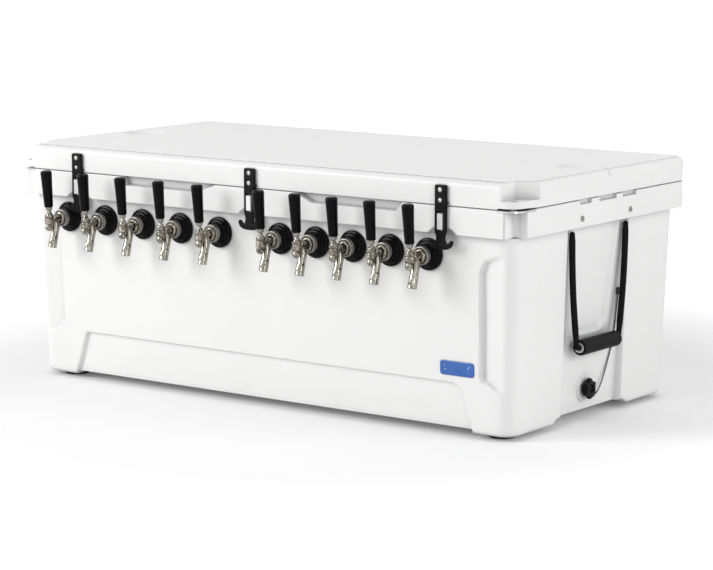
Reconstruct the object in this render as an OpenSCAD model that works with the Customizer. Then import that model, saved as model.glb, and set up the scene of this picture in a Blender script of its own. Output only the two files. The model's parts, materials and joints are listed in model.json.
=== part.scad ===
// Jockey box beer cooler: an insulated chest with a row of beer taps, cold plates, latches and rope handles.
// X runs along the chest, Y from the taps to the hinges, Z up; the origin is under the middle of the whole part.
// Every module draws round the middle of the rim, and place() moves it to that origin.

/* [Chest] */
// Length of the chest over its rim
rim_l = 1120; // [1060:1:1200]
// Width of the chest over its rim
rim_w = 572; // [540:1:620]
// Corner radius of the rim in plan
rim_r = 28; // [22:1:34]
// Height of the parting line between lid and chest
seam_z = 398; // [385:1:430]
// Height of the rim band below the parting line
rim_h = 48; // [44:1:56]
// How far the rim stands out past the walls
rim_out = 15; // [12:0.5:18]
// How much each end wall leans in from the rim to the base
draft_x = 11; // [6:0.5:14]
// How much each long wall leans in from the rim to the base
draft_y = 12; // [6:0.5:14]
// Corner radius of the walls in plan
wall_r = 30; // [24:1:36]
// Thickness of the insulated walls under the rim
wall = 54; // [48:1:60]
// Thickness of the plastic skins
skin = 4; // [3:0.5:5]
// Height of the ice cavity's floor
floor_z = 42; // [38:1:50]
// Corner radius of the ice cavity
cavity_r = 24; // [20:1:25]

/* [Mouldings] */
// Depth of the panels at the chest's corners
corner_depth = 10; // [6:0.5:12]
// Depth of the low panels on the long walls
low_depth = 7; // [4:0.5:9]
// Height of the low panels' upper edge
low_top = 92; // [80:1:110]
// Half width of the handle recess in each end wall
bay_half = 98; // [94:1:106]
// Depth of the handle recess under the rim
bay_top = 6; // [4:0.5:8]
// Depth of the handle recess at the base
bay_low = 15; // [12:0.5:17]
// Extra depth of the hand pocket inside the handle recess
pocket_depth = 6; // [3:0.5:8]
// How far the underside is raised between the foot pads
belly = 7; // [4:0.5:8]
// Depth of the lid-lift pockets in the rim
lift_depth = 12; // [8:0.5:15]
// Height of the lid-lift pockets
lift_h = 15; // [11:0.5:18]

/* [Lid] */
// Height of the lid above the parting line
lid_h = 47; // [42:0.5:54]
// Gap between the lid and the rim
seam_gap = 1; // [0.8:0.1:1.4]
// How far the lid's long top edges are rounded off
lid_round_y = 21; // [14:0.5:24]
// How far the lid's short top edges are rounded off
lid_round_x = 6; // [4:0.5:9]
// Depth of the lid's plug inside the cavity
plug_h = 14; // [10:0.5:18]
// Clearance round the lid's plug
plug_gap = 3; // [2:0.25:5]
// Length of the notch at each front corner of the lid
notch_x = 29.5; // [26:0.5:32]
// Width of the notch at each front corner of the lid
notch_y = 70; // [60:1:80]
// Height of the lid's lip under the notch
lip_h = 15; // [12:0.5:18]
// Radius of the cup rests in the lid
cup_r = 36; // [32:0.5:40]
// Depth of the cup rests
cup_depth = 5; // [3:0.5:7]
// Distance of the cup rests' middles in from the lid's ends
cup_in = 63; // [50:1:90]

/* [Taps] */
// Height of the row of taps
tap_z = 311; // [306:0.5:312]
// Middle of the left group of taps, as a share of the rim's length
group_left_share = 0.2384; // [0.236:0.0004:0.2408]
// Spacing of the taps in the left group, as a share of the rim's length
left_pitch_share = 0.0812; // [0.077:0.0002:0.082]
// Middle of the right group of taps, as a share of the rim's length
group_right_share = 0.191; // [0.188:0.0005:0.193]
// Spacing of the taps in the right group, as a share of the rim's length
right_pitch_share = 0.0714; // [0.068:0.0002:0.073]
// Taps in each group
group_n = 5; // [3:1:5]
// Radius of the threaded shanks
shank_r = 11.1; // [10.5:0.1:11.5]
// Radius of the wall flanges
flange_r = 28; // [25:0.5:28.5]
// Radius of the rear inlets where the hoses screw on
inlet_r = 10; // [9:0.1:10.5]
// Length of the rear inlets outside their nuts
inlet_l = 14; // [10:0.5:18]
// Distance from the wall to the taps' upright axis
tap_out = 58; // [54:0.5:62]
// Radius of the spout
spout_r = 8; // [7:0.25:9]
// Drop from the tap's axis to the spout's tip
spout_drop = 53; // [48:0.5:56]
// Length of the black tap handles
handle_len = 69; // [60:0.5:76]
// Radius of the tap handles at the top
handle_top_r = 10.8; // [9.5:0.1:11]
// Radius of the tap handles at the bottom
handle_low_r = 8.2; // [7.5:0.1:9]
// Forward lean of the closed tap handles, in degrees
lever_lean = 5; // [0:0.5:8]

/* [Cooling] */
// Thickness of the cold plates
plate_t = 38; // [30:1:44]
// Width of the cold plates across the chest
plate_w = 330; // [300:1:350]
// Radius of the steel beer lines
line_r = 4.75; // [4:0.25:5.5]
// Bend radius of the beer lines
bend_r = 22; // [18:0.5:26]

/* [Latches] */
// Distance of the outer latches from the middle, as a share of the rim's length
latch_share = 0.367; // [0.3655:0.0005:0.368]
// Width of the latch straps
strap_w = 23.5; // [22:0.25:26]
// Thickness of the latch straps
strap_t = 6; // [5:0.25:7]
// Length of the strap from its bend to the bottom of the pull
strap_l = 74; // [71:0.5:75]
// Half width of the pull's horns
horn_half = 24; // [20:0.25:24.5]
// Width of the window in the strap
window_w = 13.5; // [12:0.25:15]
// Height of the window in the strap
window_h = 30; // [27:0.5:31]

/* [Rope handles] */
// Half distance between the rope's two legs at the rim
rope_half = 89; // [86:0.5:91]
// Radius of the rope
rope_r = 5; // [4:0.25:5.25]
// Height of the grip's middle
grip_z = 137; // [125:1:150]
// Length of the rubber grip
grip_l = 122; // [112:1:126]
// Radius of the rubber grip
grip_r = 14; // [13:0.25:14.5]

/* [Drain] */
// Place of the drain along the end wall
drain_y = -5; // [-12:1:2]
// Height of the drain
drain_z = 55; // [54:0.5:60]
// Radius of the drain's flange
drain_flange_r = 24; // [22:0.5:25]
// Radius of the drain's tube
drain_r = 11.8; // [10:0.1:12]

/* [Feet and hinges] */
// Height of the rubber feet
foot_h = 8; // [6:0.5:10]
// Radius of the rubber feet
foot_r = 24; // [20:0.5:26]
// Distance of the feet's middles in from the rim's ends and sides
foot_in = 72; // [68:1:80]
// Distance of the two lid hinges in from the rim's ends
hinge_in = 200; // [160:1:260]
// Width of each lid hinge
hinge_w = 90; // [80:1:100]
// Radius of the hinge knuckles
knuckle_r = 7; // [6:0.25:8]
// Radius of the hinge pins
pin_r = 3; // [2.5:0.25:3.5]

/* [Hidden] */

fit = 0.3;                                   // running and seating clearance
round_fn = 48;
hull_fn = 32;
rim_bottom = seam_z - rim_h;
base_z = foot_h;
top_l = rim_l - 2 * rim_out;                 // walls where they meet the rim
top_w = rim_w - 2 * rim_out;
base_l = top_l - 2 * draft_x;
base_w = top_w - 2 * draft_y;
wall_h = rim_bottom - base_z;
lean_y = atan(draft_y / wall_h);             // lean of the long walls
base_round = 6;
foot_x = rim_l / 2 - foot_in;
foot_y = rim_w / 2 - foot_in;
cavity_l = top_l - 2 * wall;
cavity_w = top_w - 2 * wall;
function wall_y(z) = base_w / 2 + (z - base_z) * tan(lean_y);
function bay_x(z) = base_l / 2 - bay_low + (z - base_z) * (draft_x + bay_low - bay_top) / wall_h;
bay_lean = atan((draft_x + bay_low - bay_top) / wall_h);

// seats cut square into the leaning walls
seat_y = wall_y(tap_z - flange_r);           // front and rear seats of the flanges
bore_r = shank_r + 0.2;
drain_seat = bay_x(drain_z - drain_flange_r);
group_left_x = -group_left_share * rim_l;
group_right_x = group_right_share * rim_l;
left_pitch = left_pitch_share * rim_l;
right_pitch = right_pitch_share * rim_l;
tap_xs = concat([for (k = [0 : group_n - 1]) group_left_x + (k - (group_n - 1) / 2) * left_pitch],
                [for (k = [0 : group_n - 1]) group_right_x + (k - (group_n - 1) / 2) * right_pitch]);

// taps, in the tap's own frame: X sideways, -Y away from the wall, Z up, origin on the wall seat
flange_t = 18;
nut_start = 19;
nut_len = 15;
coupling_r = 17;
pivot_up = 11;                               // lever pivot above the shank's axis
ball_r = 5.2;
ferrule_low = 7;
ferrule_r = 6.2;
handle_start = 13;
tap_pivot_y = -seat_y - tap_out;
tap_pivot_z = tap_z + pivot_up;

// inside fittings
tail = 26;                                   // how far the shanks reach into the cavity
liner_y = cavity_w / 2;
tail_y = liner_y - tail;
stub = 8;                                    // straight stretch of a beer line before its bend
line_y = tail_y - stub - bend_r;             // distance of the upright lines from the middle
plate_top = floor_z + plate_t;
plate_margin = 28;
nut_r = 17;
shank_nut_t = 9;
line_nut_r = 9;
line_nut_t = 14;

// latches
latch_x = latch_share * rim_l;
latch_xs = [-latch_x, 0, latch_x];
face_y = rim_w / 2;
strap_y = face_y + 0.4 + strap_t / 2;        // middle of the strap's thickness
bend_z = seam_z;                             // the strap's bend
anchor_gap = 0.4;
anchor_low = bend_z + strap_t / 2 + anchor_gap;
anchor_top = seam_z + 36;
window_top = 11;                             // window's upper edge below the bend
boss_gap = 1.4;                              // room between window and keeper
boss_out = 8.5;
latch_screw_zs = [10, 28];

// rope handles
rope_x = rim_l / 2 - grip_r;
rope_top_z = rim_bottom - 1 - fit - rope_r;  // swing axis
tube_r = 9;
tube_bore = rope_r + 0.6;
rope_turn = 8;                               // bend of the rope at the grip's ends
rope_foot = grip_l / 2 + 2 + rope_turn;      // half distance of the legs just above the grip
anchor_screw_y = 80;
anchor_screw_z = rim_bottom + 16;

// padlock corners
plate_l = 37;                                // corner plate along the front
plate_back = 59;                             // corner plate along the end
plate_thick = 3;
lock_r = 6;
lock_in = 17;                                // padlock hole in from both rim faces
channel_x = 25;
channel_y = 31;

// hinges
hinge_x = rim_l / 2 - hinge_in;
hinge_y = rim_w / 2 + knuckle_r + 2;
leaf_t = 3;
leaf_h = 34;
knuckle_l = hinge_w / 3;
hinge_gap = 0.4;
lid_low = seam_z + seam_gap;
lid_top = seam_z + lid_h;

// the origin lies midway between the tap handles' tops and the hinge barrels
lever_reach = handle_start + handle_len;
shoulder = 5;                                // rounded top of the handles
front_reach = seat_y + tap_out + (lever_reach - shoulder) * sin(lever_lean) + handle_top_r * cos(lever_lean);
rear_reach = hinge_y + knuckle_r;
shift_y = (front_reach - rear_reach) / 2;

module place() translate([0, shift_y, 0]) children();
module both_x() { children(); mirror([1, 0, 0]) children(); }
module both_y() { children(); mirror([0, 1, 0]) children(); }

module rounded_rect(l, w, r, fn = round_fn) {
    square([l - 2 * r, w], center = true);
    square([l, w - 2 * r], center = true);
    for (sx = [-1, 1], sy = [-1, 1])
        translate([sx * (l / 2 - r), sy * (w / 2 - r)]) circle(r = r, $fn = fn);
}

module slab(l, w, r, low, high, fn = round_fn)
    translate([0, 0, low]) linear_extrude(height = high - low) rounded_rect(l, w, r, fn);

module tube(r, bore, len, fn = round_fn) difference() {
    cylinder(r = r, h = len, $fn = fn);
    translate([0, 0, -1]) cylinder(r = bore, h = len + 2, $fn = round_fn);
}

// turns a Z axis to point out of the front wall, and a child's +Z to -Y
module outward() rotate([90, 0, 0]) children();
module at_taps() for (x = tap_xs) translate([x, -seat_y, tap_z]) children();

// ---------------------------------------------------------------- chest

// the leaning walls, in by m on every side
module walls(m) hull() {
    slab(base_l - 2 * base_round - 2 * m, base_w - 2 * base_round - 2 * m, wall_r - base_round,
         base_z + m, base_z + m + 1, hull_fn);
    slab(base_l - 2 * m, base_w - 2 * m, wall_r - m / 2, base_z + base_round + m, base_z + base_round + m + 1,
         hull_fn);
    slab(top_l - 2 * m, top_w - 2 * m, wall_r - m / 2, rim_bottom - 1, rim_bottom, hull_fn);
}

// panels at the four corners, fading out towards the rounded corner
panel_in = 82;                               // inner edge, in from the rim's end
panel_fade = 62;                             // length over which a panel fades out
panel_low = 45;                              // all heights here are above the base
panel_inner_low = 97;
panel_inner_top = 280;
panel_bevel_top = 299;
panel_outer_top = 333;
panel_reach = 97;
module corner_panels(m) both_x() both_y()
    translate([rim_l / 2 - panel_in, -base_w / 2 + corner_depth + m, base_z]) rotate([lean_y, 0, 0])
        rotate([0, 0, -atan(corner_depth / panel_fade)]) outward() linear_extrude(height = wall)
            polygon([[-3 - m, panel_inner_low], [-m, panel_inner_top], [10 - m, panel_bevel_top + m],
                     [panel_reach, panel_outer_top + m], [panel_reach, panel_low - m]]);

// low panels along the two long walls, between the foot pads
low_left = 112 - rim_l / 2;                  // ends of the panels at the base
low_right = rim_l / 2 - 104;
low_slant = 30;                              // how far their ends slant in on the way up
low_shoulder = 11;                           // height of the small shoulder at the right end
module low_panels(m) both_y()
    translate([0, -base_w / 2 + low_depth + m, base_z]) rotate([lean_y, 0, 0]) outward()
        linear_extrude(height = wall)
            polygon([[low_left - m, -9], [low_left + 3 - m, 5],
                     [low_left + low_slant - m, low_top - base_z + m],
                     [low_right - low_slant - 8 + m, low_top - base_z + m],
                     [low_right - 20 + m, low_top - base_z - low_shoulder], [low_right - 3 + m, 17],
                     [low_right + m, -9]]);

// handle recess in each end wall, deeper towards the base
module handle_bays(m) both_x() intersection() {
    translate([base_l / 2 - bay_low - m, -bay_half - m, base_z]) rotate([0, bay_lean, 0])
        translate([0, 0, -30]) cube([90, 2 * (bay_half + m), wall_h + 90]);
    translate([0, -rim_w / 2, -30]) cube([rim_l, rim_w, rim_bottom + 30 + m]);
}

// hand pocket behind the rope, rounded at its foot
pocket_top = 78;                             // half width at the rim
pocket_low = 52;                             // half width where the sides straighten
pocket_bend = 190;                           // that place's height above the base
pocket_r = 25;                               // corner radius of the foot
pocket_foot = 148;                           // height of the foot above the base
module hand_pockets(m) both_x() intersection() {
    translate([base_l / 2 - bay_low - pocket_depth - m, 0, base_z]) rotate([0, bay_lean, 0])
        rotate([90, 0, 90]) linear_extrude(height = wall) union() {
            polygon([[-pocket_top - m, wall_h + 20], [-pocket_low - m, pocket_bend],
                     [pocket_low + m, pocket_bend], [pocket_top + m, wall_h + 20]]);
            translate([-pocket_low - m, pocket_foot + pocket_r + 2]) square([2 * (pocket_low + m), 16]);
            translate([pocket_r - pocket_low, pocket_foot - m]) square([2 * (pocket_low - pocket_r), 40 + m]);
            for (s = [-1, 1]) translate([s * (pocket_low - pocket_r), pocket_foot + pocket_r + 2])
                circle(r = pocket_r + m, $fn = round_fn);
        }
    translate([0, -rim_w / 2, -30]) cube([rim_l, rim_w, rim_bottom + 30 + m]);
}

// the underside stands off the floor between the four foot pads
belly_half = 118;                            // half width of the raised strip from end to end
module belly_cut(m) translate([0, 0, base_z - 20]) {
    translate([low_left - m, -rim_w, 0]) cube([low_right - low_left + 2 * m, 2 * rim_w, 20 + belly + m]);
    translate([-rim_l, -belly_half - m, 0]) cube([2 * rim_l, 2 * (belly_half + m), 20 + belly + 2 + m]);
}

// ice cavity, with a sump in its floor where the drain's nut sits
sump = 44;
module cavity(m) {
    slab(cavity_l + 2 * m, cavity_w + 2 * m, cavity_r + m, floor_z - m, seam_z + 20);
    translate([cavity_l / 2 - sump - m, drain_y - sump / 2 - m, drain_z - 20 - m])
        cube([sump + 2 * m, sump + 2 * m, 40]);
}

// pockets for the fingers, just under the lid's edge
lift_shares = [[-0.267, -0.076], [0.091, 0.293]];   // their ends, as shares of the rim's length
lift_slants = [[5, 40], [34, 13]];           // how far each end slants in on the way down
module lift_pockets(m) for (i = [0, 1])
    translate([0, -face_y + lift_depth + m, seam_z]) outward() linear_extrude(height = 40) {
        low = lift_shares[i][0] * rim_l - m;
        high = lift_shares[i][1] * rim_l + m;
        polygon([[low, 0], [low, 20], [high, 20], [high, 0],
                 [high - lift_slants[i][1], -lift_h - m], [low + lift_slants[i][0], -lift_h - m]]);
    }

// dished room for the fingers behind each latch pull
dish_r = 37;
dish_depth = 12;
dish_drop = 25;                              // its middle, below the rim's lower edge
module pull_dishes(m) for (x = latch_xs) translate([x, -face_y + dish_depth + m, rim_bottom - dish_drop])
    outward() cylinder(r = dish_r + m, h = 40, $fn = 64);

// corners of the rim: seat of the steel plate, and the channel for the padlock under it
module lock_corners(m) both_x() {
    translate([rim_l / 2 - channel_x - m, -face_y - 20, rim_bottom - 1]) cube([60, 20 + channel_y + m, rim_h]);
    translate([rim_l / 2 - plate_l - fit - m, -face_y - 20, seam_z - plate_thick - fit - m])
        cube([60 + plate_l, 20 + plate_back + fit + m, 30]);
}

slot_rows = [[-68, 36], [5, 56], [78, 44]];  // middle and length of each shallow slot under the lid's ends
slot_depth = 6;
slot_h = 7;
module rim_slots(m) both_x() for (s = slot_rows)
    translate([rim_l / 2 - slot_depth - m, s[0] - s[1] / 2 - m, seam_z - slot_h - m]) cube([40, s[1] + 2 * m, 40]);

module shank_holes(r) both_y() for (x = tap_xs) translate([x, -liner_y + 10, tap_z]) outward()
    cylinder(r = r, h = wall + 30, $fn = round_fn);

module flange_seats(m) both_y() for (x = tap_xs) translate([x, -seat_y + m, tap_z]) outward()
    cylinder(r = flange_r + 1 + m, h = 40, $fn = 64);

module drain_hole(r) translate([cavity_l / 2 - 10, drain_y, drain_z]) rotate([0, 90, 0])
    cylinder(r = r, h = wall + 30, $fn = round_fn);

module drain_seat_cut(m) translate([drain_seat - m, drain_y, drain_z]) rotate([0, 90, 0])
    cylinder(r = drain_flange_r + 1 + m, h = 40, $fn = 64);

// solid plastic where fastenings and ropes go into the hollow walls
module body_bosses(g) {
    both_x() both_y() translate([foot_x, foot_y, base_z]) cylinder(r = 12 - g, h = 30, $fn = round_fn);
    both_x() both_y() translate([bay_x(rim_bottom) - 8 + g, 66 + g, rim_bottom - 10])
        cube([60, 38 - 2 * g, 60]);
    both_x() translate([hinge_x - hinge_w / 2 + g, face_y - 22 + g, rim_bottom - 6])
        cube([hinge_w - 2 * g, 40, 60]);
}

// hollow of the walls, filled with foam; g shrinks it for the foam itself
module foam_space(g) difference() {
    union() {
        walls(skin + g);
        slab(rim_l - 2 * skin - 2 * g, rim_w - 2 * skin - 2 * g, rim_r - skin - g,
             rim_bottom + skin + g, seam_z - skin - g);
    }
    cavity(skin + g);
    belly_cut(skin + g);
    corner_panels(skin + g);
    low_panels(skin + g);
    handle_bays(skin + g);
    hand_pockets(skin + g);
    lift_pockets(skin + g);
    rim_slots(skin + g);
    pull_dishes(skin + g);
    lock_corners(skin + g);
    flange_seats(skin + g);
    shank_holes(bore_r + skin + g);
    drain_hole(drain_r + fit + skin + g);
    drain_seat_cut(skin + g);
    body_bosses(-g);
}

// the chest's rigid plastic moulding
module body_shell() place() color("whitesmoke") difference() {
    union() {
        walls(0);
        slab(rim_l, rim_w, rim_r, rim_bottom, seam_z);
        for (x = latch_xs) translate([x - window_w / 2 + boss_gap, -face_y - boss_out,
                                      bend_z - window_top - window_h + boss_gap])
            cube([window_w - 2 * boss_gap, boss_out + 5, window_h - 2 * boss_gap]);
    }
    cavity(0);
    foam_space(0);
    belly_cut(0);
    corner_panels(0);
    low_panels(0);
    handle_bays(0);
    hand_pockets(0);
    lift_pockets(0);
    pull_dishes(0);
    lock_corners(0);
    rim_slots(0);
    flange_seats(0);
    shank_holes(bore_r);
    drain_hole(drain_r + fit);
    drain_seat_cut(0);
    rope_bores();
    screw_holes();
}

module body_foam() place() color("khaki") foam_space(fit);

rope_seat = 30;                              // how far the rope's ends reach into the rim
module rope_bores() both_x() both_y() translate([rope_x, rope_half, rim_bottom - 1])
    cylinder(r = rope_r + fit, h = rope_seat + 1, $fn = round_fn);

// a countersunk screw along -Z with its head's face at the origin
module screw(head_r, shaft_r, len) {
    cylinder(r = head_r, h = 2, $fn = 24);
    translate([0, 0, -len]) cylinder(r = shaft_r, h = len + 1, $fn = 24);
}
module screw_pilot(shaft_r, len) translate([0, 0, -len - 1]) cylinder(r = shaft_r + 0.1, h = len + 3, $fn = 24);

foot_screw = 14;
side_screw = 12;
leaf_screw = 12;
module at_foot_screws() both_x() both_y() translate([foot_x, foot_y, 3]) mirror([0, 0, 1]) children();
module at_side_screws() both_x() both_y() translate([rim_l / 2, anchor_screw_y, anchor_screw_z])
    rotate([0, 90, 0]) children();
module at_body_leaf_screws() both_x() for (s = [-1, 1])
    translate([hinge_x + s * hinge_w / 3, face_y + leaf_t + fit, seam_z - leaf_h / 2 - 3])
        rotate([-90, 0, 0]) children();
eyelet_y = 88;
eyelet_z = 220;
module at_eyelet() translate([bay_x(eyelet_z), eyelet_y, eyelet_z]) rotate([0, 90 + bay_lean, 0]) children();
plate_screw = 5;
module at_plate_screws() both_x() translate([rim_l / 2 - plate_l + 6, -face_y + plate_back - 8, seam_z - fit])
    children();

module screw_holes() {
    at_foot_screws() screw_pilot(2.2, foot_screw + 6);
    at_side_screws() screw_pilot(2.2, side_screw);
    at_body_leaf_screws() screw_pilot(2.2, leaf_screw + leaf_t);
    at_eyelet() screw_pilot(1.2, 5);
    at_plate_screws() screw_pilot(1.6, plate_screw + 1);
}

module body_screws() place() color("silver") {
    at_foot_screws() screw(5, 2.2, foot_screw);
    at_side_screws() screw(4.6, 2.2, side_screw);
    at_body_leaf_screws() screw(4.6, 2.2, leaf_screw);
    at_plate_screws() translate([0, 0, -1.8]) screw(3, 1.6, plate_screw);
}

module rubber_feet() place() color("dimgray") both_x() both_y() translate([foot_x, foot_y, 0])
    difference() {
        union() {
            cylinder(r1 = foot_r - 1.5, r2 = foot_r, h = 2, $fn = 64);
            translate([0, 0, 2]) cylinder(r = foot_r, h = foot_h - 2, $fn = 64);
        }
        translate([0, 0, -1]) cylinder(r = 6, h = 4, $fn = round_fn);
        cylinder(r = 2.4, h = 30, $fn = 24);
    }

// steel plates under the lid's corner lips
module corner_plates() place() color("lightgray") both_x() difference() {
    intersection() {
        slab(rim_l - 1, rim_w - 1, rim_r, seam_z - plate_thick - fit, seam_z - fit);
        translate([rim_l / 2 - plate_l, -face_y - 1, seam_z - 20]) cube([60, plate_back + 1, 40]);
    }
    translate([rim_l / 2 - lock_in, -face_y + lock_in, seam_z - 20])
        cylinder(r = lock_r, h = 40, $fn = round_fn);
    at_plate_screws() translate([0, 0, -12]) cylinder(r = 1.8, h = 20, $fn = 24);
    at_plate_screws() translate([0, 0, -1.9]) cylinder(r = 3.2, h = 10, $fn = 24);
}

// plain badge on the front wall
badge_in = 132;                              // its middle, in from the rim's end
badge_z = 118;
badge_l = 69;
badge_w = 25;
badge_t = 2;
module front_badge() place() color("royalblue") translate([rim_l / 2 - badge_in, -wall_y(badge_z), badge_z])
    rotate([lean_y, 0, 0]) outward() slab(badge_l, badge_w, 5, fit, badge_t + fit);

// ---------------------------------------------------------------- drain

module drain_fitting() place() color("white") translate([drain_seat, drain_y, drain_z]) rotate([0, 90, 0])
    difference() {
        union() {
            cylinder(r = drain_flange_r, h = 4, $fn = 64);
            translate([0, 0, -(drain_seat - cavity_l / 2) - 11])
                cylinder(r = drain_r, h = drain_seat - cavity_l / 2 + 12, $fn = round_fn);
        }
        translate([0, 0, -100]) cylinder(r = drain_r - 2.6, h = 200, $fn = round_fn);
    }

module at_liner() translate([cavity_l / 2, drain_y, drain_z]) rotate([0, -90, 0]) children();
module drain_gasket() place() color("dimgray") at_liner() tube(17, drain_r + fit, 2);
module drain_nut() place() color("white") at_liner() translate([0, 0, 2]) difference() {
    cylinder(r = 18, h = 8, $fn = 6);
    translate([0, 0, -1]) cylinder(r = drain_r, h = 10, $fn = round_fn);
}

plug_face = drain_seat + 4;
neck_r = 10;
neck_l = 4;
cap_r = 17;
cap_t = 10;
module drain_plug() place() color("dimgray") translate([plug_face, drain_y, drain_z]) rotate([0, 90, 0]) {
    translate([0, 0, -18]) cylinder(r = drain_r - 2.6 - fit, h = 19, $fn = round_fn);
    translate([0, 0, fit]) cylinder(r = neck_r, h = neck_l, $fn = round_fn);
    translate([0, 0, neck_l]) difference() {
        union() {
            cylinder(r = cap_r - 2, h = cap_t, $fn = round_fn);
            for (a = [0 : 60 : 300]) rotate([0, 0, a]) translate([cap_r - 4, 0, 0])
                cylinder(r = 6, h = cap_t, $fn = round_fn);
        }
        translate([0, 0, cap_t - 3]) cylinder(r = 8, h = 10, $fn = round_fn);
    }
}

// ball chain: hand-chosen route in the end wall's plane, beads threaded on a thin wire
bead_r = 1.6;
bead_pitch = 4.2;
chain_route = [[88, 214], [87, 190], [85, 165], [82, 140], [77, 118], [69, 97], [59, 78], [47, 60], [34, 45],
    [20, 37], [7, 35]];
chain_x = [0, 0, 0, 0, 0, 0, 1, 3, 4, 4, 4];
function lerp_at(t) = let (i = min(floor(t), len(chain_route) - 2), f = t - i,
    p = chain_route[i] * (1 - f) + chain_route[i + 1] * f)
    [bay_x(p[1]) + bead_r + 0.5 + chain_x[i] * (1 - f) + chain_x[i + 1] * f, p[0], p[1]];
chain_knots = [for (k = [0 : len(chain_route) - 1]) lerp_at(k)];
chain_steps = [for (k = [0 : len(chain_route) - 2]) norm(chain_knots[k + 1] - chain_knots[k])];
function run_to(k) = k == 0 ? 0 : chain_steps[k - 1] + run_to(k - 1);
chain_len = run_to(len(chain_route) - 1);
function knot_of(s, k = 0) = k >= len(chain_steps) - 1 || s < run_to(k + 1) ? k : knot_of(s, k + 1);
function chain_at(s) = let (k = knot_of(s), f = (s - run_to(k)) / chain_steps[k])
    chain_knots[k] * (1 - f) + chain_knots[k + 1] * f;
beads = floor(chain_len / bead_pitch);

module rod(p, q, r) {
    v = q - p;
    translate(p) rotate([0, acos(v[2] / norm(v)), atan2(v[1], v[0])]) cylinder(r = r, h = norm(v), $fn = 16);
}

module drain_chain() place() color("silver") {
    for (i = [0 : beads]) translate(chain_at(i * bead_pitch)) sphere(r = bead_r, $fn = 16);
    for (i = [0 : beads - 1]) rod(chain_at(i * bead_pitch), chain_at((i + 1) * bead_pitch), 0.6);
    at_eyelet() translate([0, 0, fit]) { cylinder(r = 4, h = 2, $fn = 24); }
    at_eyelet() translate([0, 0, -4]) cylinder(r = 1.2, h = 5, $fn = 24);
    translate(chain_at(0)) rotate([0, 90, 0]) translate([0, 0, -1]) tube(3.4, 1.2, 2, 24);
    translate([plug_face + 1.2, drain_y, drain_z]) rotate([0, 90, 0]) tube(neck_r + 3, neck_r + 0.5, 1.6);
    rod([plug_face + 2, drain_y + 9, drain_z - 8.5], chain_at(beads * bead_pitch), 0.8);
}

// ---------------------------------------------------------------- rope handles

// one closed tube swept along points that lie in a plane of constant X
function ring_dir(p, k) = let (a = p[max(k - 1, 0)], b = p[min(k + 1, len(p) - 1)]) (b - a) / norm(b - a);
module sweep(p, r, sides) {
    rings = [for (k = [0 : len(p) - 1]) let (d = ring_dir(p, k), n = [0, -d[2], d[1]])
        for (j = [0 : sides - 1]) p[k] + r[k] * (cos(j * 360 / sides) * [1, 0, 0] + sin(j * 360 / sides) * n)];
    last = (len(p) - 1) * sides;
    polyhedron(points = rings, faces = concat(
        [[for (j = [0 : sides - 1]) sides - 1 - j]],
        [for (k = [0 : len(p) - 2], j = [0 : sides - 1])
            [k * sides + j, k * sides + (j + 1) % sides,
             (k + 1) * sides + (j + 1) % sides, (k + 1) * sides + j]],
        [[for (j = [0 : sides - 1]) last + j]]));
}

// one leg from its rounded top at the swing axis to the grip, bulging a little as a stiff rope does
leg_steps = 8;
function leg_point(t) = [rope_x, rope_foot + (rope_half - rope_foot) * t + 2.5 * sin(180 * t),
    grip_z + rope_turn + (rope_top_z - grip_z - rope_turn) * t];
dome = [for (a = [80, 50, 25]) [rope_x, rope_half, rope_top_z + rope_r * sin(a)]];
dome_r = [for (a = [80, 50, 25]) rope_r * cos(a)];
turn = [for (a = [22.5 : 22.5 : 90])
    [rope_x, rope_foot - rope_turn * (1 - cos(a)), grip_z + rope_turn * (1 - sin(a))]];
half_rope = concat(dome, [for (k = [leg_steps : -1 : 0]) leg_point(k / leg_steps)], turn);
half_r = concat(dome_r, [for (k = [4 : len(half_rope)]) rope_r]);
function flipped(p) = [for (k = [len(p) - 1 : -1 : 0]) [p[k][0], -p[k][1], p[k][2]]];
function back(r) = [for (k = [len(r) - 1 : -1 : 0]) r[k]];

module rope() sweep(concat(half_rope, flipped(half_rope)), concat(half_r, back(half_r)), 12);
module grip() translate([rope_x, grip_l / 2, grip_z]) rotate([90, 0, 0]) tube(grip_r, tube_r, grip_l, 64);
module grip_tubes() for (s = [-1, 1]) translate([rope_x, s * (grip_l / 2 - 19.5), grip_z]) rotate([90, 0, 0])
    translate([0, 0, -20]) tube(tube_r, tube_bore, 40);

module rope_right() place() color("black") rope();
module grip_right() place() color("dimgray") grip();
module grip_tubes_right() place() color("silver") grip_tubes();
module rope_left() place() color("black") mirror([1, 0, 0]) rope();
module grip_left() place() color("dimgray") mirror([1, 0, 0]) grip();
module grip_tubes_left() place() color("silver") mirror([1, 0, 0]) grip_tubes();
module rope_ends() place() color("black") both_x() both_y()
    translate([rope_x, rope_half, rim_bottom - 1]) cylinder(r = rope_r, h = rope_seat, $fn = round_fn);

// ---------------------------------------------------------------- taps

module shank() outward() translate([0, 0, -(seat_y - tail_y)]) difference() {
    cylinder(r = shank_r, h = seat_y - tail_y + nut_start + 6, $fn = round_fn);
    translate([0, 0, -1]) cylinder(r = 4.8, h = 200, $fn = round_fn);
}
module shanks() place() color("silver") at_taps() shank();

module shank_flanges() place() color("black") at_taps() outward() difference() {
    union() {
        cylinder(r = flange_r, h = 7, $fn = 64);
        cylinder(r = flange_r - 5, h = 12, $fn = 64);
        cylinder(r = coupling_r + 2, h = flange_t, $fn = 64);
    }
    translate([0, 0, -1]) cylinder(r = bore_r, h = 40, $fn = round_fn);
}

module shank_nuts() place() color("silver") both_y() for (x = tap_xs)
    translate([x, -liner_y, tap_z]) rotate([-90, 0, 0]) difference() {
        cylinder(r = nut_r, h = shank_nut_t, $fn = 6);
        translate([0, 0, -1]) cylinder(r = bore_r, h = 20, $fn = round_fn);
    }

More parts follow.
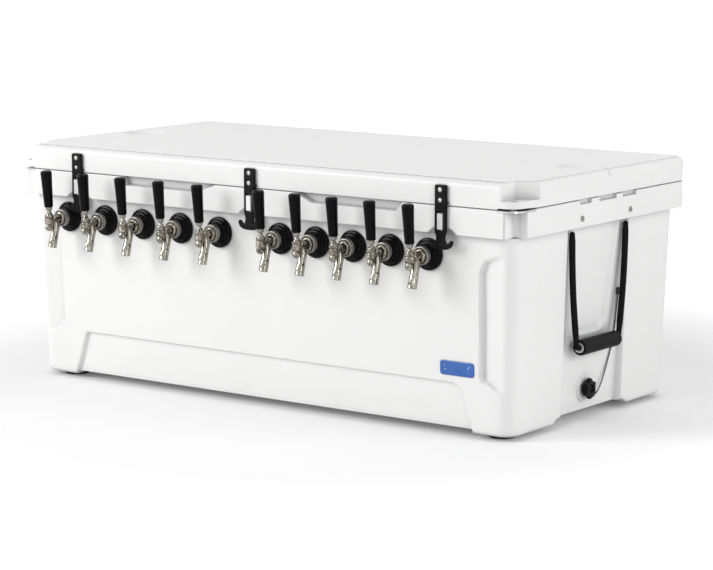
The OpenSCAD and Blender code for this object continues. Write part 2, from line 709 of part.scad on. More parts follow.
module coupling_nuts() place() color("silver") at_taps() outward() translate([0, 0, nut_start])
    difference() {
        union() {
            cylinder(r = coupling_r, h = nut_len - 3, $fn = round_fn);
            cylinder(r = coupling_r - 4, h = nut_len, $fn = round_fn);
        }
        translate([0, 0, -1]) cylinder(r = shank_r + 0.1, h = 8.4, $fn = round_fn);
        cylinder(r = 8.1, h = 40, $fn = round_fn);
    }

// faucet: neck, upright barrel, rounded lower end and the slanted spout
neck_start = nut_start + 8;
neck_drop = 8;                               // the neck falls by this angle towards the barrel
spout_top_out = tap_out - 14;
spout_tip_out = tap_out - 9;
spout_lean = atan((spout_tip_out - spout_top_out) / spout_drop);
spout_l = spout_drop / cos(spout_lean);
module faucet_body() difference() {
    union() {
        translate([0, -neck_start, 0]) rotate([90 + neck_drop, 0, 0])
            cylinder(r1 = 7.5, r2 = 5.5, h = tap_out - neck_start, $fn = round_fn);
        translate([0, -tap_out, -12]) cylinder(r = 9, h = 15, $fn = round_fn);
        translate([0, -tap_out, -12]) sphere(r = 9, $fn = round_fn);
        translate([0, -spout_top_out, 0]) rotate([-spout_lean, 0, 0]) mirror([0, 0, 1])
            cylinder(r = spout_r, h = spout_l, $fn = round_fn);
    }
    translate([0, -spout_top_out, 0]) rotate([-spout_lean, 0, 0]) mirror([0, 0, 1])
        translate([0, 0, 14]) cylinder(r = spout_r - 1.6, h = 80, $fn = round_fn);
    translate([0, -tap_out, -6]) cylinder(r = 5.6, h = 20, $fn = round_fn);
}
module faucet_bodies() place() color("silver") at_taps() faucet_body();

module faucet_bonnets() place() color("silver") at_taps() translate([0, -tap_out, 3]) difference() {
    cylinder(r = 8, h = pivot_up - 3, $fn = round_fn);
    translate([0, 0, pivot_up - 3]) sphere(r = ball_r + 0.4, $fn = round_fn);
    translate([0, 0, -1]) cylinder(r = 3.6, h = 20, $fn = round_fn);
}

// lever with its ball, ferrule and black handle; the pivot is the ball's centre
module lever_steel() {
    sphere(r = ball_r, $fn = round_fn);
    cylinder(r = 3, h = ferrule_low + 1, $fn = round_fn);
    translate([0, 0, ferrule_low]) cylinder(r = ferrule_r, h = handle_start - ferrule_low, $fn = round_fn);
    translate([0, 0, handle_start - 1]) cylinder(r = 4, h = 20, $fn = round_fn);
}
module lever_handle() rotate_extrude($fn = 64) difference() {
    polygon([[0, handle_start], [handle_low_r - 1, handle_start], [handle_low_r, handle_start + 1.5],
             [handle_top_r, lever_reach - shoulder], [handle_top_r - 1.2, lever_reach - 1.5],
             [handle_top_r - 4.5, lever_reach], [0, lever_reach]]);
    translate([0, handle_start - 1]) square([4, 20]);
}
module at_lever(k) translate([tap_xs[k - 1], tap_pivot_y, tap_pivot_z]) rotate([lever_lean, 0, 0]) children();
module tap_lever(k) place() color("silver") at_lever(k) lever_steel();
module tap_handle(k) place() color("black") at_lever(k) lever_handle();

// ---------------------------------------------------------------- cooling

module cold_plates() place() color("lightgray")
    for (g = [[group_left_x, left_pitch], [group_right_x, right_pitch]]) translate([g[0], 0, 0])
        slab((group_n - 1) * g[1] + 2 * plate_margin, plate_w, 12, floor_z, plate_top);

// from a shank's tail, over a bend and down to the cold plate
module beer_line() {
    translate([0, -tail_y, tap_z]) rotate([-90, 0, 0]) cylinder(r = line_r, h = stub, $fn = 24);
    translate([0, -tail_y + stub, tap_z - bend_r]) rotate([90, 0, 90])
        rotate_extrude(angle = 90, $fn = 48) translate([bend_r, 0]) circle(r = line_r, $fn = 24);
    translate([0, -line_y, plate_top]) cylinder(r = line_r, h = tap_z - bend_r - plate_top, $fn = 24);
}
module beer_lines() place() color("silver") both_y() for (x = tap_xs) translate([x, 0, 0]) beer_line();

module line_nut() difference() {
    cylinder(r = line_nut_r, h = line_nut_t, $fn = 6);
    translate([0, 0, -1]) cylinder(r = line_r, h = line_nut_t + 2, $fn = 24);
}
module line_nuts() place() color("goldenrod") both_y() for (x = tap_xs)
    translate([x, -line_y, plate_top]) line_nut();

module inlet_shanks() place() color("silver") for (x = tap_xs) translate([x, 0, tap_z]) mirror([0, 1, 0])
    outward() translate([0, 0, tail_y]) difference() {
        union() {
            cylinder(r = shank_r, h = seat_y - tail_y + 10, $fn = round_fn);
            translate([0, 0, seat_y - tail_y + 9]) cylinder(r = inlet_r, h = 1 + inlet_l, $fn = round_fn);
        }
        translate([0, 0, -1]) cylinder(r = 4.8, h = 200, $fn = round_fn);
    }

module inlet_flanges() place() color("black") for (x = tap_xs) translate([x, 0, tap_z]) mirror([0, 1, 0])
    outward() translate([0, 0, seat_y]) difference() {
        union() {
            cylinder(r = flange_r, h = 4, $fn = 64);
            cylinder(r = 16, h = 10, $fn = 6);
        }
        translate([0, 0, -1]) cylinder(r = bore_r, h = 40, $fn = round_fn);
    }

// ---------------------------------------------------------------- lid

module lid_block() hull() {
    slab(rim_l, rim_w, rim_r, lid_low, lid_low + 1, hull_fn);
    slab(rim_l, rim_w, rim_r, lid_top - 20, lid_top - 19, hull_fn);
    slab(rim_l - lid_round_x, rim_w - 0.7 * lid_round_y, rim_r, lid_top - 5, lid_top - 4, hull_fn);
    slab(rim_l - 2 * lid_round_x, rim_w - 2 * lid_round_y, rim_r, lid_top - 1, lid_top, hull_fn);
}

// notches over the padlock lips at the two front corners
module lid_notches(m) both_x() translate([rim_l / 2 - notch_x - m, -face_y - 20, seam_z + lip_h - m])
    cube([notch_x + 30, notch_y + 20 + m, 60]);

module lid_plug(m) slab(cavity_l - 2 * plug_gap - 2 * m, cavity_w - 2 * plug_gap - 2 * m, cavity_r - m,
                        lid_low - plug_h + m, lid_low + 12);

module cup_rests(m) both_x() translate([rim_l / 2 - cup_in, 0, lid_top - cup_depth - m])
    cylinder(r = cup_r + m, h = 40, $fn = 64);

module lid_bosses(g) {
    both_x() translate([rim_l / 2 - notch_x - skin + g, -face_y - 5, lid_low - 1])
        cube([60, notch_y + skin + 5 - g, 60]);
    for (x = latch_xs) translate([x - 14 + g, -face_y - 5, lid_low - 1]) cube([28 - 2 * g, 25 - g, 60]);
    both_x() translate([hinge_x - hinge_w / 2 + g, face_y - 20 + g, lid_low - 1])
        cube([hinge_w - 2 * g, 40, 60]);
}

module lid_foam_space(g) difference() {
    m = skin + g;
    union() {
        slab(rim_l - 2 * m, rim_w - 2 * m, rim_r - m, lid_low + m, lid_top - 20 - m);
        slab(rim_l - 2 * lid_round_x - 2 * m, rim_w - 2 * lid_round_y - 2 * m, rim_r - m, lid_low + m,
             lid_top - m);
        lid_plug(m);
    }
    lid_notches(skin + g);
    cup_rests(skin + g);
    lid_bosses(-g);
    gasket_ring(skin + g);
}

gasket_w = 9;
gasket_t = 4;
module gasket_ring(m) difference() {
    slab(cavity_l + 2 * (gasket_w + 4 + m), cavity_w + 2 * (gasket_w + 4 + m), cavity_r + gasket_w + 4 + m,
         seam_z + fit - m, seam_z + fit + gasket_t + m);
    slab(cavity_l + 2 * (4 - m), cavity_w + 2 * (4 - m), cavity_r + 4 - m, seam_z - 20, seam_z + 60);
}

thumb_depth = 2;                             // small thumb notches in the lid's end edges
module lid_shell() place() color("whitesmoke") difference() {
    union() {
        lid_block();
        lid_plug(0);
    }
    lid_foam_space(0);
    lid_notches(0);
    cup_rests(0);
    gasket_ring(0);
    both_x() translate([rim_l / 2 - thumb_depth, -3, lid_top - 16]) cube([20, 14, 40]);
    both_x() translate([rim_l / 2 - lock_in, -face_y + lock_in, seam_z - 5])
        cylinder(r = lock_r, h = 40, $fn = round_fn);
    at_latch_screws() screw_pilot(2.2, 12);
    at_lid_leaf_screws() screw_pilot(2.2, leaf_screw + leaf_t);
}

module lid_foam() place() color("khaki") lid_foam_space(fit);
module lid_gasket() place() color("dimgray") gasket_ring(0);

// ---------------------------------------------------------------- hinges

module at_hinges() both_x() translate([hinge_x, hinge_y, seam_z]) children();
module along_x(low, high) translate([low, 0, 0]) rotate([0, 90, 0])
    linear_extrude(height = high - low) children();
leaf_back = -(hinge_y - face_y) + fit;       // leaf's back face, from the pin

// leaf plates reach from the pin's height away from the seam; up = 1 on the lid, -1 on the chest
module leaf_plate(up) translate([-hinge_w / 2, leaf_back, up > 0 ? seam_gap : -leaf_h])
    cube([hinge_w, leaf_t, leaf_h - (up > 0 ? seam_gap : 0)]);
module knuckle(low, high) along_x(low, high) circle(r = knuckle_r, $fn = round_fn);
module knuckle_room(low, high) along_x(low - hinge_gap, high + hinge_gap)
    circle(r = knuckle_r + hinge_gap, $fn = round_fn);
module pin_hole() along_x(-hinge_w, hinge_w) circle(r = pin_r + 0.05, $fn = round_fn);

module body_hinge_leaves() place() color("silver") difference() {
    at_hinges() difference() {
        union() {
            leaf_plate(-1);
            for (s = [-1, 1]) translate([s * knuckle_l, 0, 0]) knuckle(-knuckle_l / 2, knuckle_l / 2);
        }
        knuckle_room(-knuckle_l / 2, knuckle_l / 2);
        pin_hole();
    }
    at_body_leaf_screws() translate([0, 0, -10]) cylinder(r = 2.5, h = 20, $fn = 24);
}

module lid_hinge_leaves() place() color("silver") difference() {
    at_hinges() difference() {
        union() {
            leaf_plate(1);
            knuckle(-knuckle_l / 2 + hinge_gap, knuckle_l / 2 - hinge_gap);
        }
        for (s = [-1, 1]) translate([s * knuckle_l, 0, 0]) knuckle_room(-knuckle_l / 2, knuckle_l / 2);
        pin_hole();
    }
    at_lid_leaf_screws() translate([0, 0, -10]) cylinder(r = 2.5, h = 20, $fn = 24);
}

module hinge_pins() place() color("gray") at_hinges() {
    along_x(-hinge_w / 2, hinge_w / 2) circle(r = pin_r, $fn = round_fn);
    for (s = [-1, 1]) translate([s * (hinge_w / 2 + 0.75), 0, 0]) along_x(-0.75, 0.75)
        circle(r = pin_r + 1.5, $fn = round_fn);
}

module at_lid_leaf_screws() both_x() for (s = [-1, 1])
    translate([hinge_x + s * hinge_w / 3, face_y + leaf_t + fit, seam_z + leaf_h / 2 + 3])
        rotate([-90, 0, 0]) children();

// ---------------------------------------------------------------- latches

module at_latch_screws() for (x = latch_xs, z = latch_screw_zs)
    translate([x, -face_y - 0.4 - strap_t + 1.5, seam_z + z]) rotate([90, 0, 0]) children();

module lid_screws() place() color("silver") {
    at_latch_screws() screw(4, 2.2, 12);
    at_lid_leaf_screws() screw(4.6, 2.2, leaf_screw);
}

// fixed upper end of each rubber latch, screwed to the lid
module latch_anchors() place() color("black") difference() {
    for (x = latch_xs) {
        translate([x - strap_w / 2, -face_y - 0.4 - strap_t, anchor_low])
            cube([strap_w, strap_t + 0.1, anchor_top - anchor_low]);
        translate([x + strap_w / 2 - 1, -face_y - 0.4 - strap_t, anchor_low]) cube([3.5, strap_t, 3]);
    }
    at_latch_screws() translate([0, 0, -20]) cylinder(r = 2.4, h = 40, $fn = 24);
    at_latch_screws() translate([0, 0, -0.1]) cylinder(r = 4.4, h = 20, $fn = 24);
}

// swinging strap: window over the keeper, narrow neck, and a pull with upturned horns
pull_r = 26;
horn_z = -strap_l + 14;
module strap_outline() difference() {
    union() {
        translate([-strap_w / 2, -window_top - window_h - 6]) square([strap_w, window_top + window_h + 6]);
        polygon([[-strap_w / 2, -window_top - window_h - 6], [strap_w / 2, -window_top - window_h - 6],
                 [8, -strap_l + 20], [12, -strap_l + 8], [-12, -strap_l + 8], [-8, -strap_l + 20]]);
        intersection() {
            difference() {
                translate([0, -strap_l + pull_r]) circle(r = pull_r, $fn = 64);
                translate([0, -strap_l + pull_r + 6]) circle(r = pull_r - 2, $fn = 64);
            }
            translate([-horn_half, -strap_l]) square([2 * horn_half, 14]);
        }
        for (s = [-1, 1]) translate([s * (horn_half - 3), horn_z - 1]) circle(r = 3, $fn = 24);
    }
    translate([-window_w / 2, -window_top - window_h]) square([window_w, window_h]);
}
module latch(x) place() color("black") translate([x, -strap_y, bend_z]) {
    outward() translate([0, 0, -strap_t / 2]) linear_extrude(height = strap_t) strap_outline();
    along_x(-strap_w / 2, strap_w / 2) circle(r = strap_t / 2, $fn = round_fn);
}

body_shell();
body_foam();
rubber_feet();
body_screws();
corner_plates();
drain_fitting();
drain_nut();
drain_gasket();
drain_chain();
front_badge();
rope_ends();
shanks();
shank_flanges();
shank_nuts();
coupling_nuts();
faucet_bodies();
faucet_bonnets();
cold_plates();
beer_lines();
line_nuts();
inlet_shanks();
inlet_flanges();
body_hinge_leaves();
hinge_pins();
lid_shell();
lid_foam();
lid_gasket();
lid_hinge_leaves();
lid_screws();
latch_anchors();
latch(-latch_x);  // latch_left
latch(0);  // latch_centre
latch(latch_x);  // latch_right
rope_right();
grip_right();
grip_tubes_right();
rope_left();
grip_left();
grip_tubes_left();
drain_plug();
for (k = [1 : 2 * group_n]) tap_lever(k);
for (k = [1 : 2 * group_n]) tap_handle(k);
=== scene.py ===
import json
import math
import bpy
import bmesh
import numpy as np
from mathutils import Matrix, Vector


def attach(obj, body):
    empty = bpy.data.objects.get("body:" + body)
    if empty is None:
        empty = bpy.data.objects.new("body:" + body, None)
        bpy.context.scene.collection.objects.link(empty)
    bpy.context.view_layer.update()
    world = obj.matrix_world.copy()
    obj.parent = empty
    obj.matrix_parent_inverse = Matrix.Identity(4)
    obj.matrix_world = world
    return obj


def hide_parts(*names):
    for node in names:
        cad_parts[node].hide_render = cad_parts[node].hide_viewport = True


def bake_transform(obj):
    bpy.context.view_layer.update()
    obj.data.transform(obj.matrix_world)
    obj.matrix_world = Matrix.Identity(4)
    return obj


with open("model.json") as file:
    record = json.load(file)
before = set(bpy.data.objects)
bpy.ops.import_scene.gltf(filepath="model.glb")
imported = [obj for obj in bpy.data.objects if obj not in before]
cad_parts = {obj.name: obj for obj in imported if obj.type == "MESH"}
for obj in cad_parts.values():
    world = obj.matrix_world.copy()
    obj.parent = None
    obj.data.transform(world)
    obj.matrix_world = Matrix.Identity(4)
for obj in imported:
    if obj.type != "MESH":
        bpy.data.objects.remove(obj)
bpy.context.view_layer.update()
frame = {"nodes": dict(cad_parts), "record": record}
nodes = frame["nodes"]
print("frame loaded:", len(nodes), "nodes")

# All shapes below are worked out in millimetres round the middle of the rim, as in the part's source.
rimLength = 1120
layout = {
    "shiftY": 21.0595,  # middle of the rim in the part's frame
    "seatY": 268.6491,  # where the flanges sit on the wall
    "tapZ": 311.0,
    "seamZ": 398.0,  # where the lid meets the rim
    "leftMiddle": -0.2384 * rimLength, "leftPitch": 0.0812 * rimLength,
    "rightMiddle": 0.191 * rimLength, "rightPitch": 0.0714 * rimLength,
    "latchX": 0.367 * rimLength,
    "drain": (520.3451, -5.0, 55.0),
}
tapXs = np.concatenate([layout["leftMiddle"] + np.arange(-2, 3) * layout["leftPitch"],
                        layout["rightMiddle"] + np.arange(-2, 3) * layout["rightPitch"]])
latchXs = np.array([-layout["latchX"], 0.0, layout["latchX"]])


def smooth(t):  # three t squared less two t cubed, from 0 to 1
    t = np.clip(t, 0.0, 1.0)
    return t * t * (3.0 - 2.0 * t)


def band(v, low, high, soft):  # 1 between low and high, easing out over soft on both sides
    return smooth((v - low) / soft + 0.5) * smooth((high - v) / soft + 0.5)


def steps(*spans):  # sorted marks from (start, end, spacing) spans
    marks = [np.linspace(a, b, max(2, int(math.ceil((b - a) / d)) + 1)) for a, b, d in spans]
    marks = np.sort(np.concatenate(marks))
    return marks[np.concatenate([[True], np.diff(marks) > 0.05])]


def insideShape(u, v, corners, soft):  # 1 inside the polygon, 0 outside, easing over soft across its edge
    corners = np.array(corners, float)
    nearest = np.full(u.shape, np.inf)
    inside = np.zeros(u.shape, bool)
    for a, b in zip(corners, np.roll(corners, -1, 0)):
        e = b - a
        along = np.clip(((u - a[0]) * e[0] + (v - a[1]) * e[1]) / (e @ e), 0, 1)
        nearest = np.minimum(nearest, np.hypot(u - a[0] - along * e[0], v - a[1] - along * e[1]))
        crosses = (a[1] <= v) != (b[1] <= v)
        inside ^= crosses & (u - a[0] < (v - a[1]) * e[0] / (e[1] if e[1] else 1e-9))
    return smooth(np.where(inside, nearest, -nearest) / soft + 0.5)


def linked(name, data):  # a new object in the scene
    made = bpy.data.objects.new(name, data)
    bpy.context.scene.collection.objects.link(made)
    return made


# a mesh from points in millimetres, moved to the part's frame in metres, with its faces turned outwards
def meshPiece(name, points, faces, merge=0.0):
    points = np.asarray(points, float) + (0, layout["shiftY"], 0)
    mesh = bpy.data.meshes.new(name)
    mesh.from_pydata((points / 1000).tolist(), [], faces)
    if merge:
        work = bmesh.new()
        work.from_mesh(mesh)
        bmesh.ops.remove_doubles(work, verts=work.verts, dist=merge)
        bmesh.ops.dissolve_degenerate(work, edges=work.edges, dist=merge)
        work.to_mesh(mesh)
        work.free()
    mesh.calc_loop_triangles()
    co = np.empty(len(mesh.vertices) * 3)
    mesh.vertices.foreach_get("co", co)
    tri = np.empty(len(mesh.loop_triangles) * 3, np.int32)
    mesh.loop_triangles.foreach_get("vertices", tri)
    a, b, c = co.reshape(-1, 3)[tri.reshape(-1, 3)].transpose(1, 0, 2)
    if (a * np.cross(b, c)).sum() < 0:
        mesh.flip_normals()
    mesh.polygons.foreach_set("use_smooth", np.ones(len(mesh.polygons), bool))
    mesh.update()
    return linked(name, mesh)


# quads between neighbouring rows and columns of a grid whose columns close round, numbered from start
def gridFaces(rows, cols, loopRows, start):
    r = np.arange(rows if loopRows else rows - 1)[:, None]
    c = np.arange(cols)[None, :]
    at = lambda i, j: start + (i % rows) * cols + j % cols
    return np.stack([at(r, c), at(r, c + 1), at(r + 1, c + 1), at(r + 1, c)], -1).reshape(-1, 4).tolist()


# one mesh from grids of (row, column, xyz); columns close round, and open ends are closed to a middle point
def gridPiece(name, grids, loopRows=False, merge=0.0):
    points, faces, count = [], [], 0
    for grid in grids:
        rows, cols = grid.shape[:2]
        faces += gridFaces(rows, cols, loopRows, count)
        points.append(grid.reshape(-1, 3))
        if not loopRows:
            k = np.arange(cols)
            pole = count + rows * cols
            points += [grid[0].mean(0)[None], grid[-1].mean(0)[None]]
            faces += np.stack([count + (k + 1) % cols, count + k, np.full(cols, pole)], 1).tolist()
            last = count + (rows - 1) * cols
            faces += np.stack([last + k, last + (k + 1) % cols, np.full(cols, pole + 1)], 1).tolist()
            count += 2
        count += rows * cols
    return meshPiece(name, np.concatenate(points), faces, merge)


# a profile of (radius, distance along the axis) turned round the axis; ripple is added to the radius
def lathe(profile, origin, axis, sides=48, ripple=None):
    profile = np.array(profile, float)
    axis = np.array(axis, float) / np.linalg.norm(axis)
    side = np.cross(axis, (1.0, 0.0, 0.0) if abs(axis[0]) < 0.9 else (0.0, 1.0, 0.0))
    side /= np.linalg.norm(side)
    up = np.cross(axis, side)
    angle = np.arange(sides) * 2 * math.pi / sides
    radius = profile[:, 0][:, None] * np.ones(sides)
    if ripple is not None:
        radius = radius + ripple(angle[None, :], profile[:, 1][:, None])
    ring = np.cos(angle)[:, None] * side + np.sin(angle)[:, None] * up
    return np.array(origin, float) + radius[..., None] * ring + profile[:, 1][:, None, None] * axis


# a tube along a path in the plane with normal flat; radii by point, relief added by angle and length run
def sweep(path, radii, sides, flat, relief=None):
    path = np.array(path, float)
    tangent = np.gradient(path, axis=0)
    tangent /= np.linalg.norm(tangent, axis=1)[:, None]
    flat = np.array(flat, float)
    other = np.cross(tangent, flat)
    angle = np.arange(sides) * 2 * math.pi / sides
    run = np.concatenate([[0], np.cumsum(np.linalg.norm(np.diff(path, axis=0), axis=1))])
    radius = np.broadcast_to(np.asarray(radii, float)[:, None], (len(path), sides))
    if relief is not None:
        radius = radius + relief(angle[None, :], run[:, None])
    return path[:, None] + radius[..., None] * (np.cos(angle)[None, :, None] * flat
                                               + np.sin(angle)[None, :, None] * other[:, None])


def resample(path, spacing):  # points at even spacing along a polyline
    path = np.array(path, float)
    run = np.concatenate([[0], np.cumsum(np.linalg.norm(np.diff(path, axis=0), axis=1))])
    marks = np.linspace(0, run[-1], int(run[-1] / spacing) + 1)
    return np.stack([np.interp(marks, run, path[:, i]) for i in range(3)], 1)


def drilled(piece, drill):  # the piece with the drill's shape taken out of it
    cut = piece.modifiers.new("drilled", "BOOLEAN")
    cut.operation, cut.solver, cut.object = "DIFFERENCE", "EXACT", drill
    bpy.context.view_layer.update()
    made = bpy.data.meshes.new_from_object(piece.evaluated_get(bpy.context.evaluated_depsgraph_get()))
    piece.modifiers.clear()
    old, piece.data = piece.data, made
    bpy.data.meshes.remove(old)
    bpy.data.meshes.remove(drill.data)
    return piece


def fitted(piece, body, slotName, finish, *replaced):  # its finish, its body and what it stands for; slotName is not used
    piece.data.materials.append(finishes[finish])
    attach(piece, body)
    if replaced:
        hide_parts(*replaced)
    return piece


def evenShade(piece):  # big flat faces keep their own normal beside small rounded ones
    shade = piece.modifiers.new("even shade", "WEIGHTED_NORMAL")
    shade.mode = "FACE_AREA"
    shade.weight = 60
    return piece


view = {"azimuth": 36.454, "elevation": 9.01, "distance": 4.9007, "lens": 132.72,
        "target": (0.02115, 0.02106, 0.19015)}
turn, tilt = math.radians(view["azimuth"]), math.radians(view["elevation"])
back = Vector((math.sin(turn) * math.cos(tilt), -math.cos(turn) * math.cos(tilt), math.sin(tilt)))
lens = bpy.data.cameras.new("photo view")
lens.lens, lens.sensor_width, lens.clip_start, lens.clip_end = view["lens"], 36.0, 0.1, 60.0
camera = linked("photo view", lens)
camera.location = Vector(view["target"]) + back * view["distance"]
camera.rotation_mode = "QUATERNION"
camera.rotation_quaternion = (-back).to_track_quat("-Z", "Y")
bpy.context.scene.camera = camera


# a node group: inputs are names with defaults, outputs are names, and of the outputs Normal is a vector
def newGroup(name, inputs, outputs):
    group = bpy.data.node_groups.new(name, "ShaderNodeTree")
    kindOf = lambda isVector: "NodeSocketVector" if isVector else "NodeSocketFloat"
    for label, value in inputs.items():
        kind = kindOf(isinstance(value, tuple))
        group.interface.new_socket(label, in_out="INPUT", socket_type=kind).default_value = value
    for label in outputs:
        group.interface.new_socket(label, in_out="OUTPUT", socket_type=kindOf(label == "Normal"))
    return group, group.nodes.new("NodeGroupInput"), group.nodes.new("NodeGroupOutput")


def closeGroup(group, end, **results):  # links the results to the group's outputs
    for label, value in results.items():
        group.links.new(value, end.inputs[label])
    return group


def addNode(tree, kind, **settings):  # a new node with its settings
    made = tree.nodes.new(kind)
    for key, value in settings.items():
        setattr(made, key, value)
    return made


def feed(tree, value, socket):  # a number sets the socket, and another socket is linked to it
    if isinstance(value, (int, float)):
        socket.default_value = value
    else:
        tree.links.new(value, socket)


def fedNode(tree, kind, result, inputs):  # one output of a new node, its inputs fed by name
    made = addNode(tree, kind)
    for label, value in inputs.items():
        feed(tree, value, made.inputs[label])
    return made.outputs[result]


def maths(tree, operation, *values):  # the operation on the values
    made = addNode(tree, "ShaderNodeMath", operation=operation)
    for value, socket in zip(values, made.inputs):
        feed(tree, value, socket)
    return made.outputs[0]


def noiseOf(tree, vector, scale, detail=3.0, rough=0.55):  # noise between 0 and 1
    return fedNode(tree, "ShaderNodeTexNoise", "Fac",
                   {"Vector": vector, "Scale": scale, "Detail": detail, "Roughness": rough})


def bumpOf(tree, height, depth):  # a normal from a height, depth in metres
    return fedNode(tree, "ShaderNodeBump", "Normal", {"Strength": 1.0, "Height": height, "Distance": depth})


def objectPlace(tree):  # place on the piece, in metres
    return addNode(tree, "ShaderNodeTexCoord").outputs["Object"]


def buildSkinGroup():  # fine moulded grain, with broad patches for colour and sheen
    group, start, end = newGroup("mouldedSkin", {"Grain": 700.0, "Depth": 0.0001, "Patch": 6.0},
                                 ("Normal", "Patches"))
    place = objectPlace(group)
    fine = noiseOf(group, place, start.outputs["Grain"], 4.0)
    return closeGroup(group, end, Normal=bumpOf(group, fine, start.outputs["Depth"]),
                      Patches=noiseOf(group, place, start.outputs["Patch"], 5.0, 0.6))


def buildBrushGroup():  # long fine scratches along one axis, and broad patches; on the nickel the patches are painted reflections, on the spout the scratches are painted reflection streaks
    group, start, end = newGroup("brushedMetal",
                                 {"Stretch": (60.0, 900.0, 900.0), "Depth": 0.00005, "Patch": 45.0},
                                 ("Normal", "Scratches", "Polish"))
    place = objectPlace(group)
    scaled = addNode(group, "ShaderNodeVectorMath", operation="MULTIPLY")
    feed(group, place, scaled.inputs[0])
    feed(group, start.outputs["Stretch"], scaled.inputs[1])
    lines = noiseOf(group, scaled.outputs[0], 1.0, 5.0, 0.65)
    return closeGroup(group, end, Normal=bumpOf(group, lines, start.outputs["Depth"]), Scratches=lines,
                      Polish=noiseOf(group, place, start.outputs["Patch"], 3.0))


def buildCastGroup():  # sand-cast pits over soft unevenness
    group, start, end = newGroup("castGrain", {"Grain": 420.0, "Depth": 0.0004}, ("Normal", "Pits"))
    place = objectPlace(group)
    cells = fedNode(group, "ShaderNodeTexVoronoi", "Distance",
                    {"Vector": place, "Scale": start.outputs["Grain"]})
    pits = maths(group, "ADD", cells, noiseOf(group, place, 160.0))
    return closeGroup(group, end, Normal=bumpOf(group, pits, start.outputs["Depth"]), Pits=pits)


def buildBraidGroup():  # crossing yarns from the piece's own map: X along the rope, Y round it
    group, start, end = newGroup("ropeBraid", {"Yarns": 8.0, "Depth": 0.0005}, ("Normal", "Crown"))
    split = addNode(group, "ShaderNodeSeparateXYZ")
    feed(group, addNode(group, "ShaderNodeUVMap", uv_map="run").outputs["UV"], split.inputs[0])
    around = maths(group, "MULTIPLY", split.outputs["Y"], start.outputs["Yarns"])
    fullTurn = 6.28318
    runs = [maths(group, way, split.outputs["X"], around) for way in ("ADD", "SUBTRACT")]
    waves = [maths(group, "SINE", maths(group, "MULTIPLY", run, fullTurn)) for run in runs]
    crown = maths(group, "MAXIMUM", *waves)
    fibre = maths(group, "MULTIPLY", noiseOf(group, objectPlace(group), 1500.0), 0.5)
    height = maths(group, "ADD", crown, fibre)
    return closeGroup(group, end, Normal=bumpOf(group, height, start.outputs["Depth"]),
                      Crown=maths(group, "MULTIPLY_ADD", crown, 0.5, 0.5))


# each look: its group, the mask for the colour and the mask for the roughness
skin = (buildSkinGroup(), "Patches", "Patches")
brushed = (buildBrushGroup(), "Polish", "Scratches")
# the spout's colour follows the long streaks, which are painted reflections, and its roughness follows the
# patches
paintedStreakLook = (brushed[0], "Scratches", "Polish")
cast = (buildCastGroup(), "Pits", "Pits")
braid = (buildBraidGroup(), "Crown", "Crown")


def blendColour(tree, mask, low, high):  # low where the mask is 0, high where it is 1
    made = addNode(tree, "ShaderNodeMix", data_type="RGBA")
    made.inputs["A"].default_value = (*low, 1)
    made.inputs["B"].default_value = (*high, 1)
    tree.links.new(mask, made.inputs["Factor"])
    return made.outputs["Result"]


# the value's range fromLow to fromHigh stretched to low to high
def rangeOf(tree, value, low, high, fromLow=0.3, fromHigh=0.7):
    ends = {"From Min": fromLow, "From Max": fromHigh, "To Min": low, "To Max": high}
    return fedNode(tree, "ShaderNodeMapRange", "Result", {"Value": value, **ends})


# a Principled surface whose colour and roughness follow the look's masks; values fill the group's inputs in
# their order, and flat values sit on the surface's own sockets
def newMaterial(name, look, values, colours, roughs, paintedCreviceShade=None, **flat):
    group, colourMask, roughMask = look
    material = bpy.data.materials.new(name)
    material.use_nodes = True
    tree = material.node_tree
    surface = tree.nodes["Principled BSDF"]
    detail = addNode(tree, "ShaderNodeGroup", node_tree=group)
    for socket, value in zip(detail.inputs, values):
        socket.default_value = value
    tree.links.new(detail.outputs["Normal"], surface.inputs["Normal"])
    colour = blendColour(tree, rangeOf(tree, detail.outputs[colourMask], 0, 1), *colours)
    if paintedCreviceShade:  # painted shade: its reach, and the colour where nothing of the sky is seen within it
        reach, shaded = paintedCreviceShade
        open_ = addNode(tree, "ShaderNodeAmbientOcclusion", samples=12)
        open_.inputs["Distance"].default_value = reach
        plain = colour
        colour = blendColour(tree, rangeOf(tree, open_.outputs["AO"], 0, 1, 0.3, 0.92), shaded, (1, 1, 1))
        tree.links.new(plain, colour.node.inputs["B"])
    tree.links.new(colour, surface.inputs["Base Color"])
    tree.links.new(rangeOf(tree, detail.outputs[roughMask], *roughs), surface.inputs["Roughness"])
    for key, value in flat.items():
        surface.inputs[key.replace("_", " ")].default_value = value
    return material


def greys(low, high):  # a dark and a light grey
    return (low, low, low), (high, high, high)


